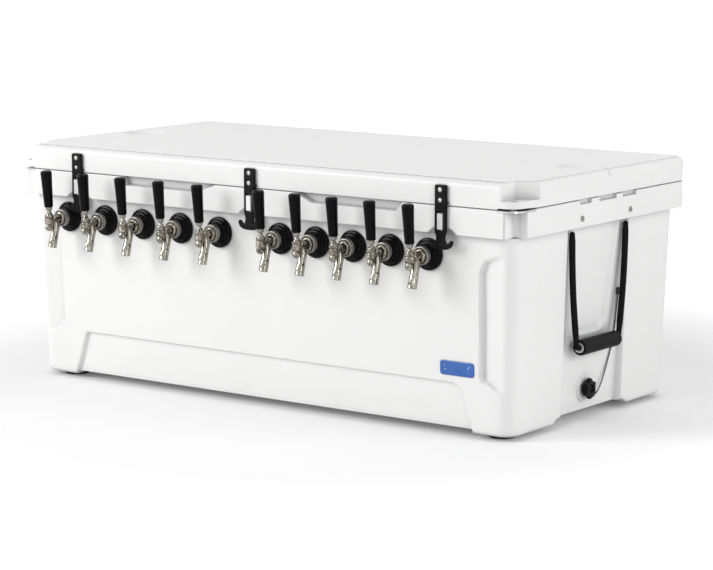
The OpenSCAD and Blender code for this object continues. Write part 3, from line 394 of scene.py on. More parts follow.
# name, look and its values, dark and light colour, roughness in both, and what is the same all over
finishes = {
    # the white plastic is darkened by painted shade in creases, recesses and between parts
    "whitePlastic": newMaterial("white rotomoulded plastic", skin, (520.0, 0.00012, 5.0),
                                ((0.855, 0.855, 0.85), (0.88, 0.88, 0.875)), (0.36, 0.44),
                                paintedCreviceShade=(0.024, (0.46, 0.46, 0.47))),
    "gloss": newMaterial("glossy black plastic", skin, (260.0, 0.00002, 60.0),
                         ((0.0015, 0.0015, 0.002), (0.003, 0.003, 0.004)), (0.10, 0.16),
                         Specular_IOR_Level=0.1),
    "blackPlastic": newMaterial("black moulded plastic", skin, (900.0, 0.00005, 50.0),
                                greys(0.003, 0.005), (0.2, 0.3), Specular_IOR_Level=0.12),
    "rubber": newMaterial("black rubber", skin, (1100.0, 0.00012, 35.0),
                          greys(0.004, 0.009), (0.3, 0.45), Specular_IOR_Level=0.12),
    "gripRubber": newMaterial("grip rubber", skin, (1400.0, 0.0002, 40.0),
                              greys(0.006, 0.010), (0.45, 0.6), Specular_IOR_Level=0.1),
    "rope": newMaterial("black braided rope", braid, (6.0, 0.0005),
                        greys(0.002, 0.009), (0.8, 0.6), Specular_IOR_Level=0.08),
    "greyTube": newMaterial("grey tube", skin, (900.0, 0.00004, 40.0), greys(0.50, 0.60), (0.3, 0.42)),
    # painted reflections: the nickel's colour runs from near black to pale in broad patches
    "nickel": newMaterial("nickel with painted reflections", brushed, ((500.0, 500.0, 90.0), 0.00003, 190.0),
                          ((0.05, 0.045, 0.035), (0.50, 0.47, 0.40)), (0.05, 0.13), Metallic=1.0),
    # painted reflections: the spout's colour runs in dark and light streaks along its length
    "spoutNickel": newMaterial("nickel with painted reflection streaks", paintedStreakLook, ((420.0, 420.0, 7.0), 0.00002, 60.0),
                               ((0.06, 0.055, 0.04), (0.62, 0.59, 0.52)), (0.06, 0.14), Metallic=1.0),
    "satinNickel": newMaterial("satin nickel", brushed, ((900.0, 900.0, 900.0), 0.00012),
                               ((0.27, 0.26, 0.235), (0.38, 0.37, 0.34)), (0.3, 0.45), Metallic=1.0),
    "steel": newMaterial("brushed steel", brushed, ((60.0, 900.0, 900.0), 0.00004),
                         ((0.62, 0.62, 0.62), (0.80, 0.80, 0.79)), (0.22, 0.34), Metallic=1.0),
    "screwSteel": newMaterial("screw steel", brushed, ((900.0, 900.0, 900.0), 0.00003),
                              ((0.30, 0.30, 0.29), (0.50, 0.50, 0.48)), (0.16, 0.28), Metallic=1.0),
    "chain": newMaterial("plated bead chain", brushed, ((900.0, 900.0, 900.0), 0.00002),
                         ((0.02, 0.02, 0.02), (0.09, 0.09, 0.085)), (0.2, 0.35), Metallic=1.0),
    "tube": newMaterial("stainless tube", brushed, ((700.0, 700.0, 60.0), 0.00004),
                        ((0.48, 0.48, 0.47), (0.62, 0.62, 0.61)), (0.18, 0.3), Metallic=1.0),
    "brass": newMaterial("brass nut", brushed, ((300.0, 300.0, 300.0), 0.00004),
                         ((0.62, 0.43, 0.17), (0.75, 0.55, 0.26)), (0.22, 0.36), Metallic=1.0),
    "aluminium": newMaterial("cast aluminium", cast, (420.0, 0.0004),
                             ((0.42, 0.42, 0.43), (0.60, 0.60, 0.61)), (0.6, 0.42), Metallic=1.0),
    "foam": newMaterial("foam", cast, (900.0, 0.0006), ((0.62, 0.48, 0.24), (0.76, 0.63, 0.38)), (0.95, 0.8)),
    "badge": newMaterial("blue badge", skin, (700.0, 0.00002, 60.0), ((0.012, 0.10, 0.40), (0.016, 0.13, 0.47)),
                         (0.14, 0.22), Coat_Weight=0.6, Coat_Roughness=0.05),
}
nodeFinish = {"drain_chain": "chain", "body_screws": "screwSteel", "lid_screws": "screwSteel"}
slotFinish = {"white_plastic": "whitePlastic", "foam": "foam", "black_rubber": "rubber", "black_rope": "rope",
              "grip_tube": "greyTube", "steel": "steel", "chrome": "nickel", "black_plastic": "blackPlastic",
              "blue_badge": "badge", "cast_aluminium": "aluminium", "stainless_tube": "tube", "brass": "brass"}
for part in frame["record"]["subparts"]:
    solid = nodes[part["node"]]
    solid.data.materials.clear()
    solid.data.materials.append(finishes[nodeFinish.get(part["node"], slotFinish[part["material_slot"]])])
print("materials:", len(finishes))


far = 1e6  # a column mark past every side, which outline() brings in to the corner


# columns round a rounded rectangle, anticlockwise from the front left: place and outward normal of each
def ringColumns(xs, ys, arc):
    def corner(first, sx, sy):
        a = np.radians(first + np.linspace(0, 90, arc))
        return np.stack([np.full(arc, sx * far), np.full(arc, sy * far), np.cos(a), np.sin(a)], 1)

    def straight(marks, side):
        flat = np.zeros((len(marks), 4))
        along, across = (0, 1) if side in "fb" else (1, 0)
        sign = -1 if side in "fl" else 1
        flat[:, along], flat[:, across], flat[:, across + 2] = marks, sign * far, sign
        return flat
    return np.concatenate([straight(xs, "f"), corner(-90, 1, -1), straight(ys, "r"), corner(0, 1, 1),
                           straight(xs[::-1], "b"), corner(90, -1, 1), straight(ys[::-1], "l"),
                           corner(180, -1, -1)])


# places of the columns on a rounded rectangle; the sizes may be one number or one per row
def outline(cols, halfX, halfY, radius):
    halfX, halfY, radius = (np.atleast_1d(np.asarray(v, float))[:, None] for v in (halfX, halfY, radius))
    inX, inY = halfX - radius, halfY - radius
    x = np.clip(cols[:, 0], -inX, inX) + cols[:, 2] * radius
    y = np.clip(cols[:, 1], -inY, inY) + cols[:, 3] * radius
    return np.stack(np.broadcast_arrays(x, y), -1)


def withHeight(flat, z):  # rows of x and y with their heights added
    z = np.asarray(z, float)
    if z.ndim == 1:
        z = z[:, None]
    return np.concatenate([flat, np.broadcast_to(z, flat.shape[:2])[..., None]], -1)


chest = {
    "foot": (534.0, 259.0), "footZ": 8.0, "height": 342.0,  # half length and half width at the walls' foot
    "lean": (11.0, 12.0),  # how much further out they are at their top
    "corner": 30.0, "footRound": 6.0, "cove": 8.0,  # radii: corners, foot of the walls, cavity's floor
    "lowPanel": [(-448, -9), (-445, 13), (-418, 92), (418, 92), (436, 81), (453, 25), (456, -9)],
    "lowDepth": 7.0,
    "cornerPanel": [(475, 105), (478, 288), (488, 307), (600, 350), (600, 41)], "cornerDepth": 10.0,
    "cornerFade": (478.0, 62.0),
    "bay": (519.0, 20.0, 98.0),  # place at its foot, lean, half width
    "pocket": [(-60, 148), (27, 148), (38, 151), (47, 159), (51.4, 169), (52, 190), (79.5, 362), (-60, 362)],
    "pocketDepth": 6.0,
    "belly": (-448.0, 456.0, 7.0), "strip": (118.0, 9.0),  # raised parts of the underside
    "cavity": (491.0, 217.0, 24.0, 42.0), "sumpDepth": 7.0,  # half sizes, corner radius, floor
}


def wallAt(z):  # half length and half width of the leaning walls at height z
    walls = zip(chest["foot"], chest["lean"])
    return [foot + (z - chest["footZ"]) * lean / chest["height"] for foot, lean in walls]


# rings from the middle of the cavity's floor up its sides, down the outer walls and in under the base;
# panels, bays and hand pockets are then pressed in
def buildWalls():
    c = chest
    xs = steps((-503, -470, 2.5), (-470, -456, 5), (-456, -410, 2.3), (-410, 410, 30), (410, 462, 2.3),
               (462, 470, 4), (470, 503, 2.5))
    ys = steps((-226, -110, 15), (-110, -90, 1.7), (-90, -45, 2.5), (-45, 45, 4), (45, 90, 2.5), (90, 110, 1.7),
               (110, 226, 15))
    cols = ringColumns(xs, ys, 10)
    cavityX, cavityY, cavityR, floorZ = c["cavity"]
    inset = np.array([460, 300, 140, 60, 52, 46, 42, 34, 26, 18, 10, 7, 4, 1.5, 0.3])
    inside = outline(cols, cavityX - inset, np.maximum(cavityY - inset, cavityY - inset * 0.46),
                     np.maximum(cavityR - inset, 2.0))
    insideZ = floorZ + np.maximum(0, c["cove"] - inset) ** 2 / c["cove"]
    sump = band(inside[..., 0], 447, 600, 3) * band(inside[..., 1], -48, -4, 3)
    rows = [withHeight(inside, insideZ[:, None] - c["sumpDepth"] * sump)]
    liner = np.array([54, 90, 180, 270, 350.3])
    rows.append(withHeight(outline(cols, np.full(len(liner), cavityX), cavityY, cavityR), liner))
    z = steps((14, 40, 2), (40, 86, 3), (86, 99, 1.4), (99, 150, 5), (150, 188, 2.4), (188, 284, 8),
              (284, 344, 2.6), (344, 350.3, 2))[::-1]
    flat = outline(cols, *wallAt(z), c["corner"])
    angle = np.radians(np.linspace(15, 90, 6))
    footTop = c["footZ"] + c["footRound"]
    edgeX, edgeY = wallAt(footTop)
    level = [9, 14, 24, 36, 50, 66, 84, 102, 112, 118, 124, 140, 170, 200, 240]
    under = np.concatenate([c["footRound"] * (1 - np.cos(angle)), level])
    underZ = np.concatenate([footTop - c["footRound"] * np.sin(angle), np.full(len(level), c["footZ"])])
    foot = outline(cols, edgeX - under, np.maximum(edgeY - under, 4), np.maximum(c["corner"] - under, 2.0))
    shape = withHeight(np.concatenate([flat, foot]), np.concatenate([z, underZ]))
    x, y, height = shape[..., 0].copy(), shape[..., 1].copy(), shape[..., 2].copy()
    onLong = np.abs(cols[:, 3]) > 0.99
    onEnd = np.abs(cols[:, 2]) > 0.99
    wallY = wallAt(height)[1]
    local = height - c["footZ"]
    inY = insideShape(x, height, c["lowPanel"], 4.5) * onLong * c["lowDepth"]
    fadeFrom, fadeLength = c["cornerFade"]
    reach = c["cornerDepth"] * np.clip(1 - (np.abs(x) - fadeFrom) / fadeLength, 0, 1)
    panel = insideShape(np.abs(x), height, c["cornerPanel"], 4.5)
    cut = np.maximum(0, np.abs(y) - (wallY - reach)) * panel * (np.abs(cols[:, 3]) > 0.05)
    onWall = smooth(local / 3.0)
    shape[..., 1] = np.sign(y) * (np.abs(y) - np.maximum(inY * (np.abs(y) > wallY - 8), cut) * onWall)
    bayFoot, bayLean, bayHalf = c["bay"]
    bayX = bayFoot + local * bayLean / c["height"]
    bay = band(np.abs(y), -far, bayHalf, 5.0) * onEnd
    pocket = insideShape(np.abs(y), local, c["pocket"], 5.0)
    sunk = bay * np.maximum(0, np.abs(x) - bayX) + c["pocketDepth"] * pocket * bay * (np.abs(x) > bayX - 2)
    shape[..., 0] = np.sign(x) * (np.abs(x) - sunk)
    low, high, bellyUp = c["belly"]
    stripHalf, stripUp = c["strip"]
    lift = np.maximum(bellyUp * band(x, low, high, 6), stripUp * band(y, -stripHalf, stripHalf, 6))
    shape[..., 2] = height + lift * smooth((40 - height) / 30)
    rows.append(shape)
    return gridPiece("chestWalls", [np.concatenate(rows)], merge=2e-5)


# two straight runs that meet at the bend, with closer points towards their ends; where radius isn't 0, the bend
# is an arc between runs that are square to each other
def cornerPath(start, bend, end, radius, count):
    start, bend, end = (np.array(q, float) for q in (start, bend, end))
    arc = count // 2 if radius else 0
    legs = [(count - arc) // 2, count - arc - (count - arc) // 2]
    ease = lambda n: (1 - np.cos(np.linspace(0, math.pi, n)))[:, None] / 2
    one = bend - (bend - start) / np.linalg.norm(bend - start) * radius
    two = bend + (end - bend) / np.linalg.norm(end - bend) * radius
    middle = one + two - bend
    turned = np.radians(np.linspace(0, 90, arc + 2)[1:-1])[:, None]
    curve = middle + (one - middle) * np.cos(turned) + (two - middle) * np.sin(turned)
    return np.concatenate([start + (one - start) * ease(legs[0]), curve, two + (end - two) * ease(legs[1])])


rim = {
    "size": (560.0, 286.0, 28.0), "ring": 69.0,  # half sizes and corner radius; width of its top
    "liftLeft": [(-299, 425), (-299, 398), (-294, 383), (-125.5, 383), (-85, 398), (-85, 425)],
    "liftRight": [(102, 425), (102, 398), (136, 383), (315, 383), (328, 398), (328, 425)], "liftDepth": 12.0,
    "dish": (325.0, 37.0, 12.0),  # height, radius, depth
    "slots": [(-68, 36), (5, 56), (78, 44)], "slotDepth": 5.8, "slotLow": 391.0,
    "channel": ((536.5, -286), (536.5, -253), (560, -253)), "channelR": 8.0,
    "plate": (523.0, -227.0, 394.4),  # seat of the padlock plate
    "keeper": (10.7, 8.5, 358.4, 385.6),  # width, how far out, low and high end
}


# a ring of columns round the rim's section: up the inside, over the top, down the face and back below;
# finger pockets, dishes, slots and the seats of the padlock plates are pressed in
def buildRim():
    c = rim
    a, b, r = c["size"]
    xs = steps((-532, -522, 1.5), (-522, -445, 26), (-445, -378, 2.2), (-378, -303, 25), (-303, -289, 1.5),
               (-289, -130, 30), (-130, -80, 2), (-80, -34, 16), (-34, 34, 2.2), (34, 98, 20), (98, 140, 2),
               (140, 311, 30), (311, 331, 1.5), (331, 378, 20), (378, 445, 2.2), (445, 522, 26),
               (522, 532, 1.5))
    ys = steps((-252, -230, 7), (-230, -222, 1.5), (-222, -90, 22), (-90, -82, 1), (-82, -54, 9), (-54, -46, 1),
               (-46, -27, 9), (-27, -19, 1), (-19, 29, 12), (29, 37, 1), (37, 52, 8), (52, 60, 1), (60, 96, 12),
               (96, 104, 1), (104, 256, 20))
    cols = ringColumns(xs, ys, 14)
    outer = outline(cols, a, b, r)[0]
    front = (cols[:, 1] < -far / 2) & (np.abs(cols[:, 0]) > far / 2)  # the two front corner arcs
    for side in (1, -1):
        pick = front & (cols[:, 0] * side > 0)
        path = cornerPath(*c["channel"], c["channelR"], pick.sum())
        outer[pick] = path if side > 0 else path[::-1] * (-1, 1)
    inner = outline(cols, *chest["cavity"][:3])[0]
    inset = [69, 69, 69, 69, 68.6, 67.4, 65.6, 63, 55, 45, 40, 37.8, 37, 30, 22, 17, 14.5, 13, 12.4, 11.6, 10.8,
             9.5, 8, 7, 6.4, 5.6, 4.5, 3, 2, 1.1, 0.4, 0.08]
    height = [350.3, 365, 385, 392, 395, 397, 397.9, 398] + [398] * 21 + [397.7, 397.1, 396.2]
    faceZ = steps((352.6, 365, 1.6), (365, 380, 5), (380, 387, 1.1), (387, 389.4, 1.2), (389.4, 392.6, 0.6),
                  (392.6, 395, 1.2))[::-1]
    under = [0.3, 1, 2.2, 4, 7, 9.5, 11, 11.8, 12.6, 14, 17, 22, 40]
    inset = np.concatenate([inset, np.zeros(len(faceZ)), under])
    height = np.concatenate([height, faceZ, [351.4, 350.5, 350.1], [350] * 9, [350.3]])
    marks = cols[:, 0][None, :] * np.ones(len(inset))[:, None]
    marksY = cols[:, 1][None, :] * np.ones(len(inset))[:, None]
    z = height[:, None] * np.ones(len(cols))
    isFront = (cols[:, 3] < -0.99) & (np.abs(cols[:, 0]) < far / 2)
    isEnd = (np.abs(cols[:, 2]) > 0.99) & (np.abs(cols[:, 1]) < far / 2)
    lifts = [insideShape(marks, z, c[name], 2.2) for name in ("liftLeft", "liftRight")]
    lifts = np.maximum(*lifts) * c["liftDepth"]
    dishZ, dishR, dishDepth = c["dish"]
    dishes = [smooth((dishR - np.hypot(marks - x, z - dishZ)) / 3 + 0.5) for x in latchXs]
    dishes = np.max(dishes, 0) * dishDepth
    slots = np.max([band(marksY, s - l / 2, s + l / 2, 1.6) for s, l in c["slots"]], 0)
    slots = slots * band(z, c["slotLow"], 500, 1.4) * c["slotDepth"]
    depth = np.maximum(lifts, dishes) * isFront + slots * isEnd
    drawnIn = inset[:, None] / c["ring"]
    share = np.maximum(inset[:, None], depth) / c["ring"]
    share = np.where((inset[:, None] > 30) | (depth < 0.01), drawnIn, share)
    flat = outer + (inner - outer) * share[..., None]
    plateX, plateY, plateZ = c["plate"]
    seat = band(np.abs(flat[..., 0]), plateX - 0.4, 700, 0.8) * band(flat[..., 1], -700, plateY + 0.4, 0.8)
    z = np.where(z > plateZ, z + (plateZ - z) * seat, z)
    return gridPiece("chestRim", [np.concatenate([flat, z[..., None]], -1)], loopRows=True, merge=2e-5)


# a block with rounded edges: a superellipse-like grid pushed out to the block's faces
def roundedBlock(low, high, radius, count=5):
    low, high = np.array(low, float), np.array(high, float)
    middle, half = (low + high) / 2, (high - low) / 2
    a = np.radians(np.linspace(0, 90, count))
    corner = np.concatenate([a + k * math.pi / 2 for k in range(4)])
    signX = np.sign(np.cos(np.repeat(np.arange(4) * math.pi / 2 + math.pi / 4, count)))
    signY = np.sign(np.sin(np.repeat(np.arange(4) * math.pi / 2 + math.pi / 4, count)))
    tiers = np.concatenate([a - math.pi / 2, a])
    signZ = np.repeat([-1.0, 1.0], count)
    ringR = radius * np.cos(tiers)
    x = signX[None] * (half[0] - radius) + np.cos(corner)[None] * ringR[:, None]
    y = signY[None] * (half[1] - radius) + np.sin(corner)[None] * ringR[:, None]
    z = (signZ * (half[2] - radius) + radius * np.sin(tiers))[:, None] * np.ones(len(corner))
    return middle + np.stack([x, y, z], -1)


evenShade(fitted(buildWalls(), "cooler", "white_plastic", "whitePlastic", "body_shell"))
evenShade(fitted(buildRim(), "cooler", "white_plastic", "whitePlastic", "body_shell"))
keeperW, keeperOut, keeperLow, keeperTop = rim["keeper"]
face = rim["size"][1]
keepers = [roundedBlock((x - keeperW / 2, -face - keeperOut, keeperLow),
                        (x + keeperW / 2, 4 - face, keeperTop), 1.6) for x in latchXs]
evenShade(fitted(gridPiece("latchKeepers", keepers), "cooler", "white_plastic", "whitePlastic"))
print("chest moulding built")


lid = {
    "size": (560.0, 286.0, 28.0), "plug": (488.0, 214.0, 21.0),
    "lip": [(1.1, 399.2), (0.35, 399.7), (0, 400.7), (0, 406), (0, 411.6)],  # inset all round, height
    "ledge": [  # millimetres in, share of the way to the notch, height
        (0.0, 0.0, 412.3), (0.4, 0.0, 412.9), (1.6, 0.0, 413.1), (0.0, 0.5, 413.1), (0.0, 1.0, 413.3)],
    "upper": [  # inset: ends, long sides, notch walls; height
        (0, 0, 0, 414.2), (0, 0, 0, 417), (0, 0, 0, 423), (0, 0, 0, 429), (0, 0, 0, 433),
        (0.1, 0.25, 0, 435.2), (0.4, 0.8, 0, 437),
        (0.9, 1.7, 0, 438.4), (1.6, 3.0, 0, 439.5), (2.4, 4.8, 0.1, 440.3), (3.2, 8, 0.2, 441.1),
        (3.8, 12, 0.3, 441.8),
        (4.3, 16, 0.5, 442.4), (4.5, 17.6, 0.6, 442.5), (4.7, 18.2, 0.8, 442.2), (5.0, 18.9, 1.0, 441.3),
        (5.4, 19.6, 1.3, 441.2),
        (5.5, 19.7, 1.4, 441.6), (5.3, 19.2, 1.3, 443.2), (5.5, 19.4, 1.5, 443.9), (6.3, 20.4, 2.2, 444.4),
        (7.6, 22.6, 3.6, 444.6)],
    "notch": (528.5, 243.0, 214.0), "raised": (522.0, 226.0, 2.2),
    "cups": (497.0, 36.0, 5.0), "thumb": (-3.0, 11.0, 429.0, 3.0),
    "lockHole": (543.0, -269.0, 6.0),
}


def buildLid():
    # rings of the outline, each drawn in by its inset, from under the plug round to the middle of the top;
    # above the lip the front corners follow the notch, and the cups and thumb marks are pressed in afterwards
    c = lid
    a, b, r = c["size"]
    notchX, notchBend, notchEnd = c["notch"]
    xs = steps((-notchX, -520, 1.4), (-520, -480, 8), (-480, 480, 40), (480, 520, 8), (520, notchX, 1.4))
    ys = steps((-notchEnd, -208, 1.5), (-208, -44, 13), (-44, -8, 2.6), (-8, 16, 1.0), (16, 44, 2.6),
               (44, 210, 15), (210, 256, 12))
    cols = ringColumns(xs, ys, 26)
    corner = (cols[:, 1] < -far / 2) & (np.abs(cols[:, 0]) > far / 2)
    onFront = (cols[:, 1] < -far / 2) & ~corner
    onEnds = (np.abs(cols[:, 0]) > far / 2) & ~corner
    plain = outline(cols, a, b, r)[0]

    def notchedRing(inX, inY, inNotch, z):  # one ring whose front corners follow the notch
        ring = outline(cols, a - inX, b - inY, r - (inX + inY) / 2)[0]
        edge = notchX - inNotch
        ring[onFront, 0] = np.clip(ring[onFront, 0], -edge, edge)
        ring[onEnds, 1] = np.maximum(ring[onEnds, 1], -notchEnd + 0.7 * inNotch)
        path = cornerPath((edge, -b + inY), (edge, -notchBend + 0.6 * inNotch),
                          (a - inX, -notchEnd + 0.7 * inNotch), 0, 26)
        ring[corner & (cols[:, 0] > 0)] = path
        ring[corner & (cols[:, 0] < 0)] = path[::-1] * (-1, 1)
        return withHeight(ring[None], [z])
    plugX, plugY, plugR = c["plug"]
    rows = [withHeight(outline(cols, plugX - shrink, max(plugY - shrink, plugY * 0.05),
                               max(plugR - shrink, 1)), [float(z)])
            for shrink, z in ((400, 385), (200, 385), (60, 385), (8, 385), (2, 385.5), (0, 387.5), (0, 393),
                              (0, 398.9))]
    rows.append(withHeight(outline(cols, 530.0, 262.0, 26.0), [399.0]))
    rows += [withHeight(outline(cols, a - inset, b - inset, r - inset), [z]) for inset, z in c["lip"]]
    foot = notchedRing(0, 0, 0, 0)[0, :, :2]
    run = np.maximum(np.linalg.norm(foot - plain, axis=1), 1e-6)[:, None]
    for millimetres, share, z in c["ledge"]:
        rows.append(withHeight((plain + (foot - plain) * np.minimum(1, share + millimetres / run))[None], [z]))
    rows += [notchedRing(*row) for row in c["upper"]]
    last, top = rows[-1][0, :, :2], c["upper"][-1][3]
    inner = outline(cols, 446.0, 110.0, 20.0)[0]
    rows += [withHeight((last + (inner - last) * share)[None], [top]) for share in np.linspace(0.03, 1, 36)]
    rows += [withHeight(outline(cols, halfX, halfY, 10.0), [top])
             for halfX, halfY in ((440, 85), (430, 50), (420, 18))]
    shape = np.concatenate(rows)
    x, y, z = shape[..., 0], shape[..., 1], shape[..., 2]
    crown = 0.4 * smooth((z - top + 0.3) / 0.3) * (1 - (y / b) ** 2) * (1 - (x / a) ** 2)
    cupX, cupR, cupDepth = c["cups"]
    cup = smooth((cupR - np.hypot(np.abs(x) - cupX, y)) / 4 + 0.5) * cupDepth * (z > 430)
    low, high, above, depth = c["thumb"]
    thumb = band(y, low, high, 1.4) * band(z, above, 600, 1.4) * smooth((np.abs(x) - 545) / 4) * depth
    raisedX, raisedY, raise_ = c["raised"]
    atCorner = band(np.abs(x), raisedX, 900, 4)
    lifted = raise_ * atCorner * band(y, -900, -raisedY, 4) * (z > 398) * smooth((404 - z) / 3)
    shape[..., 2] = z + crown - cup + lifted
    shape[..., 0] = x - np.sign(x) * thumb
    piece = gridPiece("lidMoulding", [shape], merge=2e-5)
    holeX, holeY, holeR = c["lockHole"]
    drill = gridPiece("drill", [lathe([(holeR, 380), (holeR, 420)], (side * holeX, holeY, 0), (0, 0, 1), 32)
                                for side in (-1, 1)])
    return drilled(piece, drill)


evenShade(fitted(buildLid(), "lid", "white_plastic", "whitePlastic", "lid_shell"))
print("lid moulding built")


tap = {
    "flange": [
        (0.1, 0), (28, 0), (28, 4.6), (27.7, 5.7), (26.9, 6.6), (25.6, 7), (23.9, 7.2), (23.2, 7.9), (23, 9),
        (23, 10.6), (22.6, 11.5), (21.7, 12), (20, 12.1), (19.3, 12.5), (19, 13.4), (19, 16.6), (18.6, 17.5),
        (17.7, 18), (12.5, 18), (0.1, 18)],
    "nut": [(9, 18.4), (14.8, 18.4), (15.7, 18.8), (16.1, 19.6), (16.2, 23), (16.2, 26), (16.2, 28.2),
            (15.9, 29), (15.2, 29.4), (14.2, 29.5), (13.6, 29.1), (13.2, 28.2), (13, 26.6), (9, 26.4)],
    "dome": [(9, 24), (12.4, 24), (12.9, 26.5), (13.1, 28.6), (12.9, 30.4), (12.2, 32), (11, 33.2), (9.6, 33.9),
             (8.4, 33.7), (7.9, 32.6), (7.6, 28)],
    "barrel": [
        (0.1, -10), (5.4, -10), (6.2, -9.2), (6.4, -8.4), (8.4, -8.0), (9, -7.3), (9, -5.6), (9, -3.9),
        (8.5, -3.3), (7.9, -3), (7.9, -2), (8.6, -1.6), (9, -0.8), (9, 0.8), (8.6, 1.9), (7.4, 2.6), (7, 3.2),
        (0.1, 3.2)],
    "ball": [(0.1, -7.2), (2.4, -6.8), (4.8, -5.4), (6.5, -3.1), (7.2, -0.4), (6.9, 2.2), (5.7, 4.4),
             (4.2, 5.8), (4.0, 7.4), (0.1, 7.6)],
    "ballOut": 2.0, "ballDown": 14.4,
    "bonnet": [
        (0.1, 2.9), (7.2, 2.9), (8.2, 3.3), (8.6, 4), (8.6, 5.6), (8.6, 7.2), (8.2, 7.9), (7.2, 8.3),
        (6.7, 8.9), (6.5, 10), (6.1, 10.8), (5.3, 11), (5.5, 9.4), (5.0, 7.8), (0.1, 6.6)],
    "lever": [(0.1, -5.2), (2.6, -4.5), (4.5, -2.6), (5.2, 0), (4.6, 2.5), (3.4, 4), (3, 4.9), (3, 6.2),
              (0.1, 6.6)],
    "ferrule": [
        (0.1, 6.1), (3.4, 6.2), (5.0, 6.5), (5.5, 7.1), (5.7, 8.2), (5.9, 10), (6.15, 11.6), (6.2, 12.6),
        (5.9, 13.1), (0.1, 13.1)],
    "handle": [
        (0.1, 13), (7.2, 13), (7.9, 13.3), (8.2, 14.1), (8.5, 22), (9.2, 40), (9.9, 58), (10.6, 74.5),
        (10.78, 77.2), (10.6, 78.6), (9.9, 79.9), (8.6, 81), (6.7, 81.8), (6.2, 82), (0.1, 82)],
    "out": 58.0, "lean": 5.0, "pivotUp": 11.0,
    "neck": ((27, 0), (34, 0.6), (42, 2.0), (50, 3.6), (58, 4.4)), "neckR": (7.6, 6.9, 5.9, 5.4, 5.2),
    "spout": ((48, 4), (43.5, -2), (41.2, -8), (41.4, -15), (43.4, -24), (46.2, -33.4), (46.6, -34.8),
              (47.2, -36.8), (52, -53)),
    "spoutR": (4.6, 6.4, 7.4, 7.7, 7.4, 7.3, 7.9, 8.0, 8.2),
}


def knurled(count, low, high, depth):  # fine teeth round a band of a turned part
    return lambda angle, along: -depth * (0.5 - 0.5 * np.cos(angle * count)) * band(along, low, high, 0.8)


def tapGrids(x):  # the grids of one tap, in the order of tapPieces
    seat = np.array([x, -layout["seatY"], layout["tapZ"]])
    away = (0, -1, 0)
    flange = lathe(tap["flange"], seat, away, 72)
    nut = lathe(tap["nut"], seat, away, 96, knurled(32, 19.8, 28.0, 0.7))
    lobed = lambda angle, along: -1.3 * (0.5 - 0.5 * np.cos(angle * 5)) * band(along, 27.6, 33.4, 3)
    dome = lathe(tap["dome"], seat, away, 60, lobed)
    middle = seat + (0, -tap["out"], 0)
    barrel = lathe(tap["barrel"], middle, (0, 0, 1), 72, knurled(18, -7.2, -4, 0.8))
    ball = lathe(tap["ball"], middle - (0, tap["ballOut"], tap["ballDown"]), (0, -0.12, 1), 40)
    bonnet = lathe(tap["bonnet"], middle, (0, 0, 1), 80, knurled(20, 3.9, 7.3, 0.8))
    neckPath = resample([seat + (0, -o, -d) for o, d in tap["neck"]], 2.0)
    neckR = np.interp(-(neckPath[:, 1] - seat[1]), [p[0] for p in tap["neck"]], tap["neckR"])
    neck = sweep(neckPath, neckR, 32, (1, 0, 0))
    spoutPath = resample([seat + (0, -o, z) for o, z in tap["spout"]], 1.8)
    spoutR = np.interp(seat[2] - spoutPath[:, 2], [-z for o, z in tap["spout"]], tap["spoutR"])
    tube = sweep(spoutPath, spoutR, 40, (1, 0, 0))
    tip = tube[-1]
    centre = spoutPath[-1]
    bore = [centre + (tip - centre) * s + (0, 0, d)
            for s, d in ((0.97, 0.0), (0.88, 0.25), (0.80, 1.0), (0.78, 6.0), (0.76, 14.0))]
    spout = np.concatenate([tube, np.stack(bore)])
    return [flange], [nut], [dome], [barrel, ball, neck], [spout], [bonnet]


tapPieces = (("tapFlanges", "black_plastic", "gloss", "shank_flanges"),
             ("tapNuts", "chrome", "satinNickel", "coupling_nuts"),
             ("tapDomes", "chrome", "nickel", "coupling_nuts"),
             ("tapBodies", "chrome", "nickel", "faucet_bodies"),
             ("tapSpouts", "chrome", "spoutNickel", "faucet_bodies"),
             ("tapBonnets", "chrome", "nickel", "faucet_bonnets"))
leverPieces = (("lever", 40, "chrome", "nickel", "tap_lever"),
               ("handle", 64, "black_plastic", "gloss", "tap_handle"),
               ("ferrule", 40, "chrome", "satinNickel", "tap_lever"))
for (name, slotName, finish, node), grids in zip(tapPieces, zip(*(tapGrids(x) for x in tapXs))):
    piece = gridPiece(name, [grid for oneTap in grids for grid in oneTap])
    evenShade(fitted(piece, "cooler", slotName, finish, node))
lean = math.radians(tap["lean"])
for k, x in enumerate(tapXs, 1):
    pivot = (x, -layout["seatY"] - tap["out"], layout["tapZ"] + tap["pivotUp"])
    axis = (0, -math.sin(lean), math.cos(lean))
    for name, sides, slotName, finish, node in leverPieces:
        piece = gridPiece(f"{name}_{k}", [lathe(tap[name], pivot, axis, sides)])
        evenShade(fitted(piece, f"tap_{k}", slotName, finish, f"{node}_{k}"))
print("taps built:", len(tapXs))


latch = {
    "right": [(8.75, 36), (10.6, 35.2), (11.3, 33), (11.3, 20), (11.3, 7.4), (14.1, 6.7), (14.2, 3.9),
              (11.3, 3.1), (11.3, 2.2), (11.3, 1.2), (11.3, 0), (11.3, -1.2), (11.3, -2.4), (11.3, -3.6),
              (11.3, -5), (11.3, -25), (11.3, -40), (11.2, -43.5), (9.4, -48.5), (8.4, -52), (8.3, -56),
              (9.0, -59.6), (11, -62.6), (13.6, -63.8), (16.4, -62.8), (18.6, -59.8), (20.4, -57.8),
              (22.4, -57.4), (24, -58.8), (24.5, -61.4), (23.6, -65), (20.8, -69), (16.4, -71.8), (11, -73.4),
              (5, -74)],
    "window": (7.0, -10.4, -42.0, 6.4), "thick": 6.0, "edge": 1.0, "middle": -289.4,
    "bend": (401.0, 394.0),
}


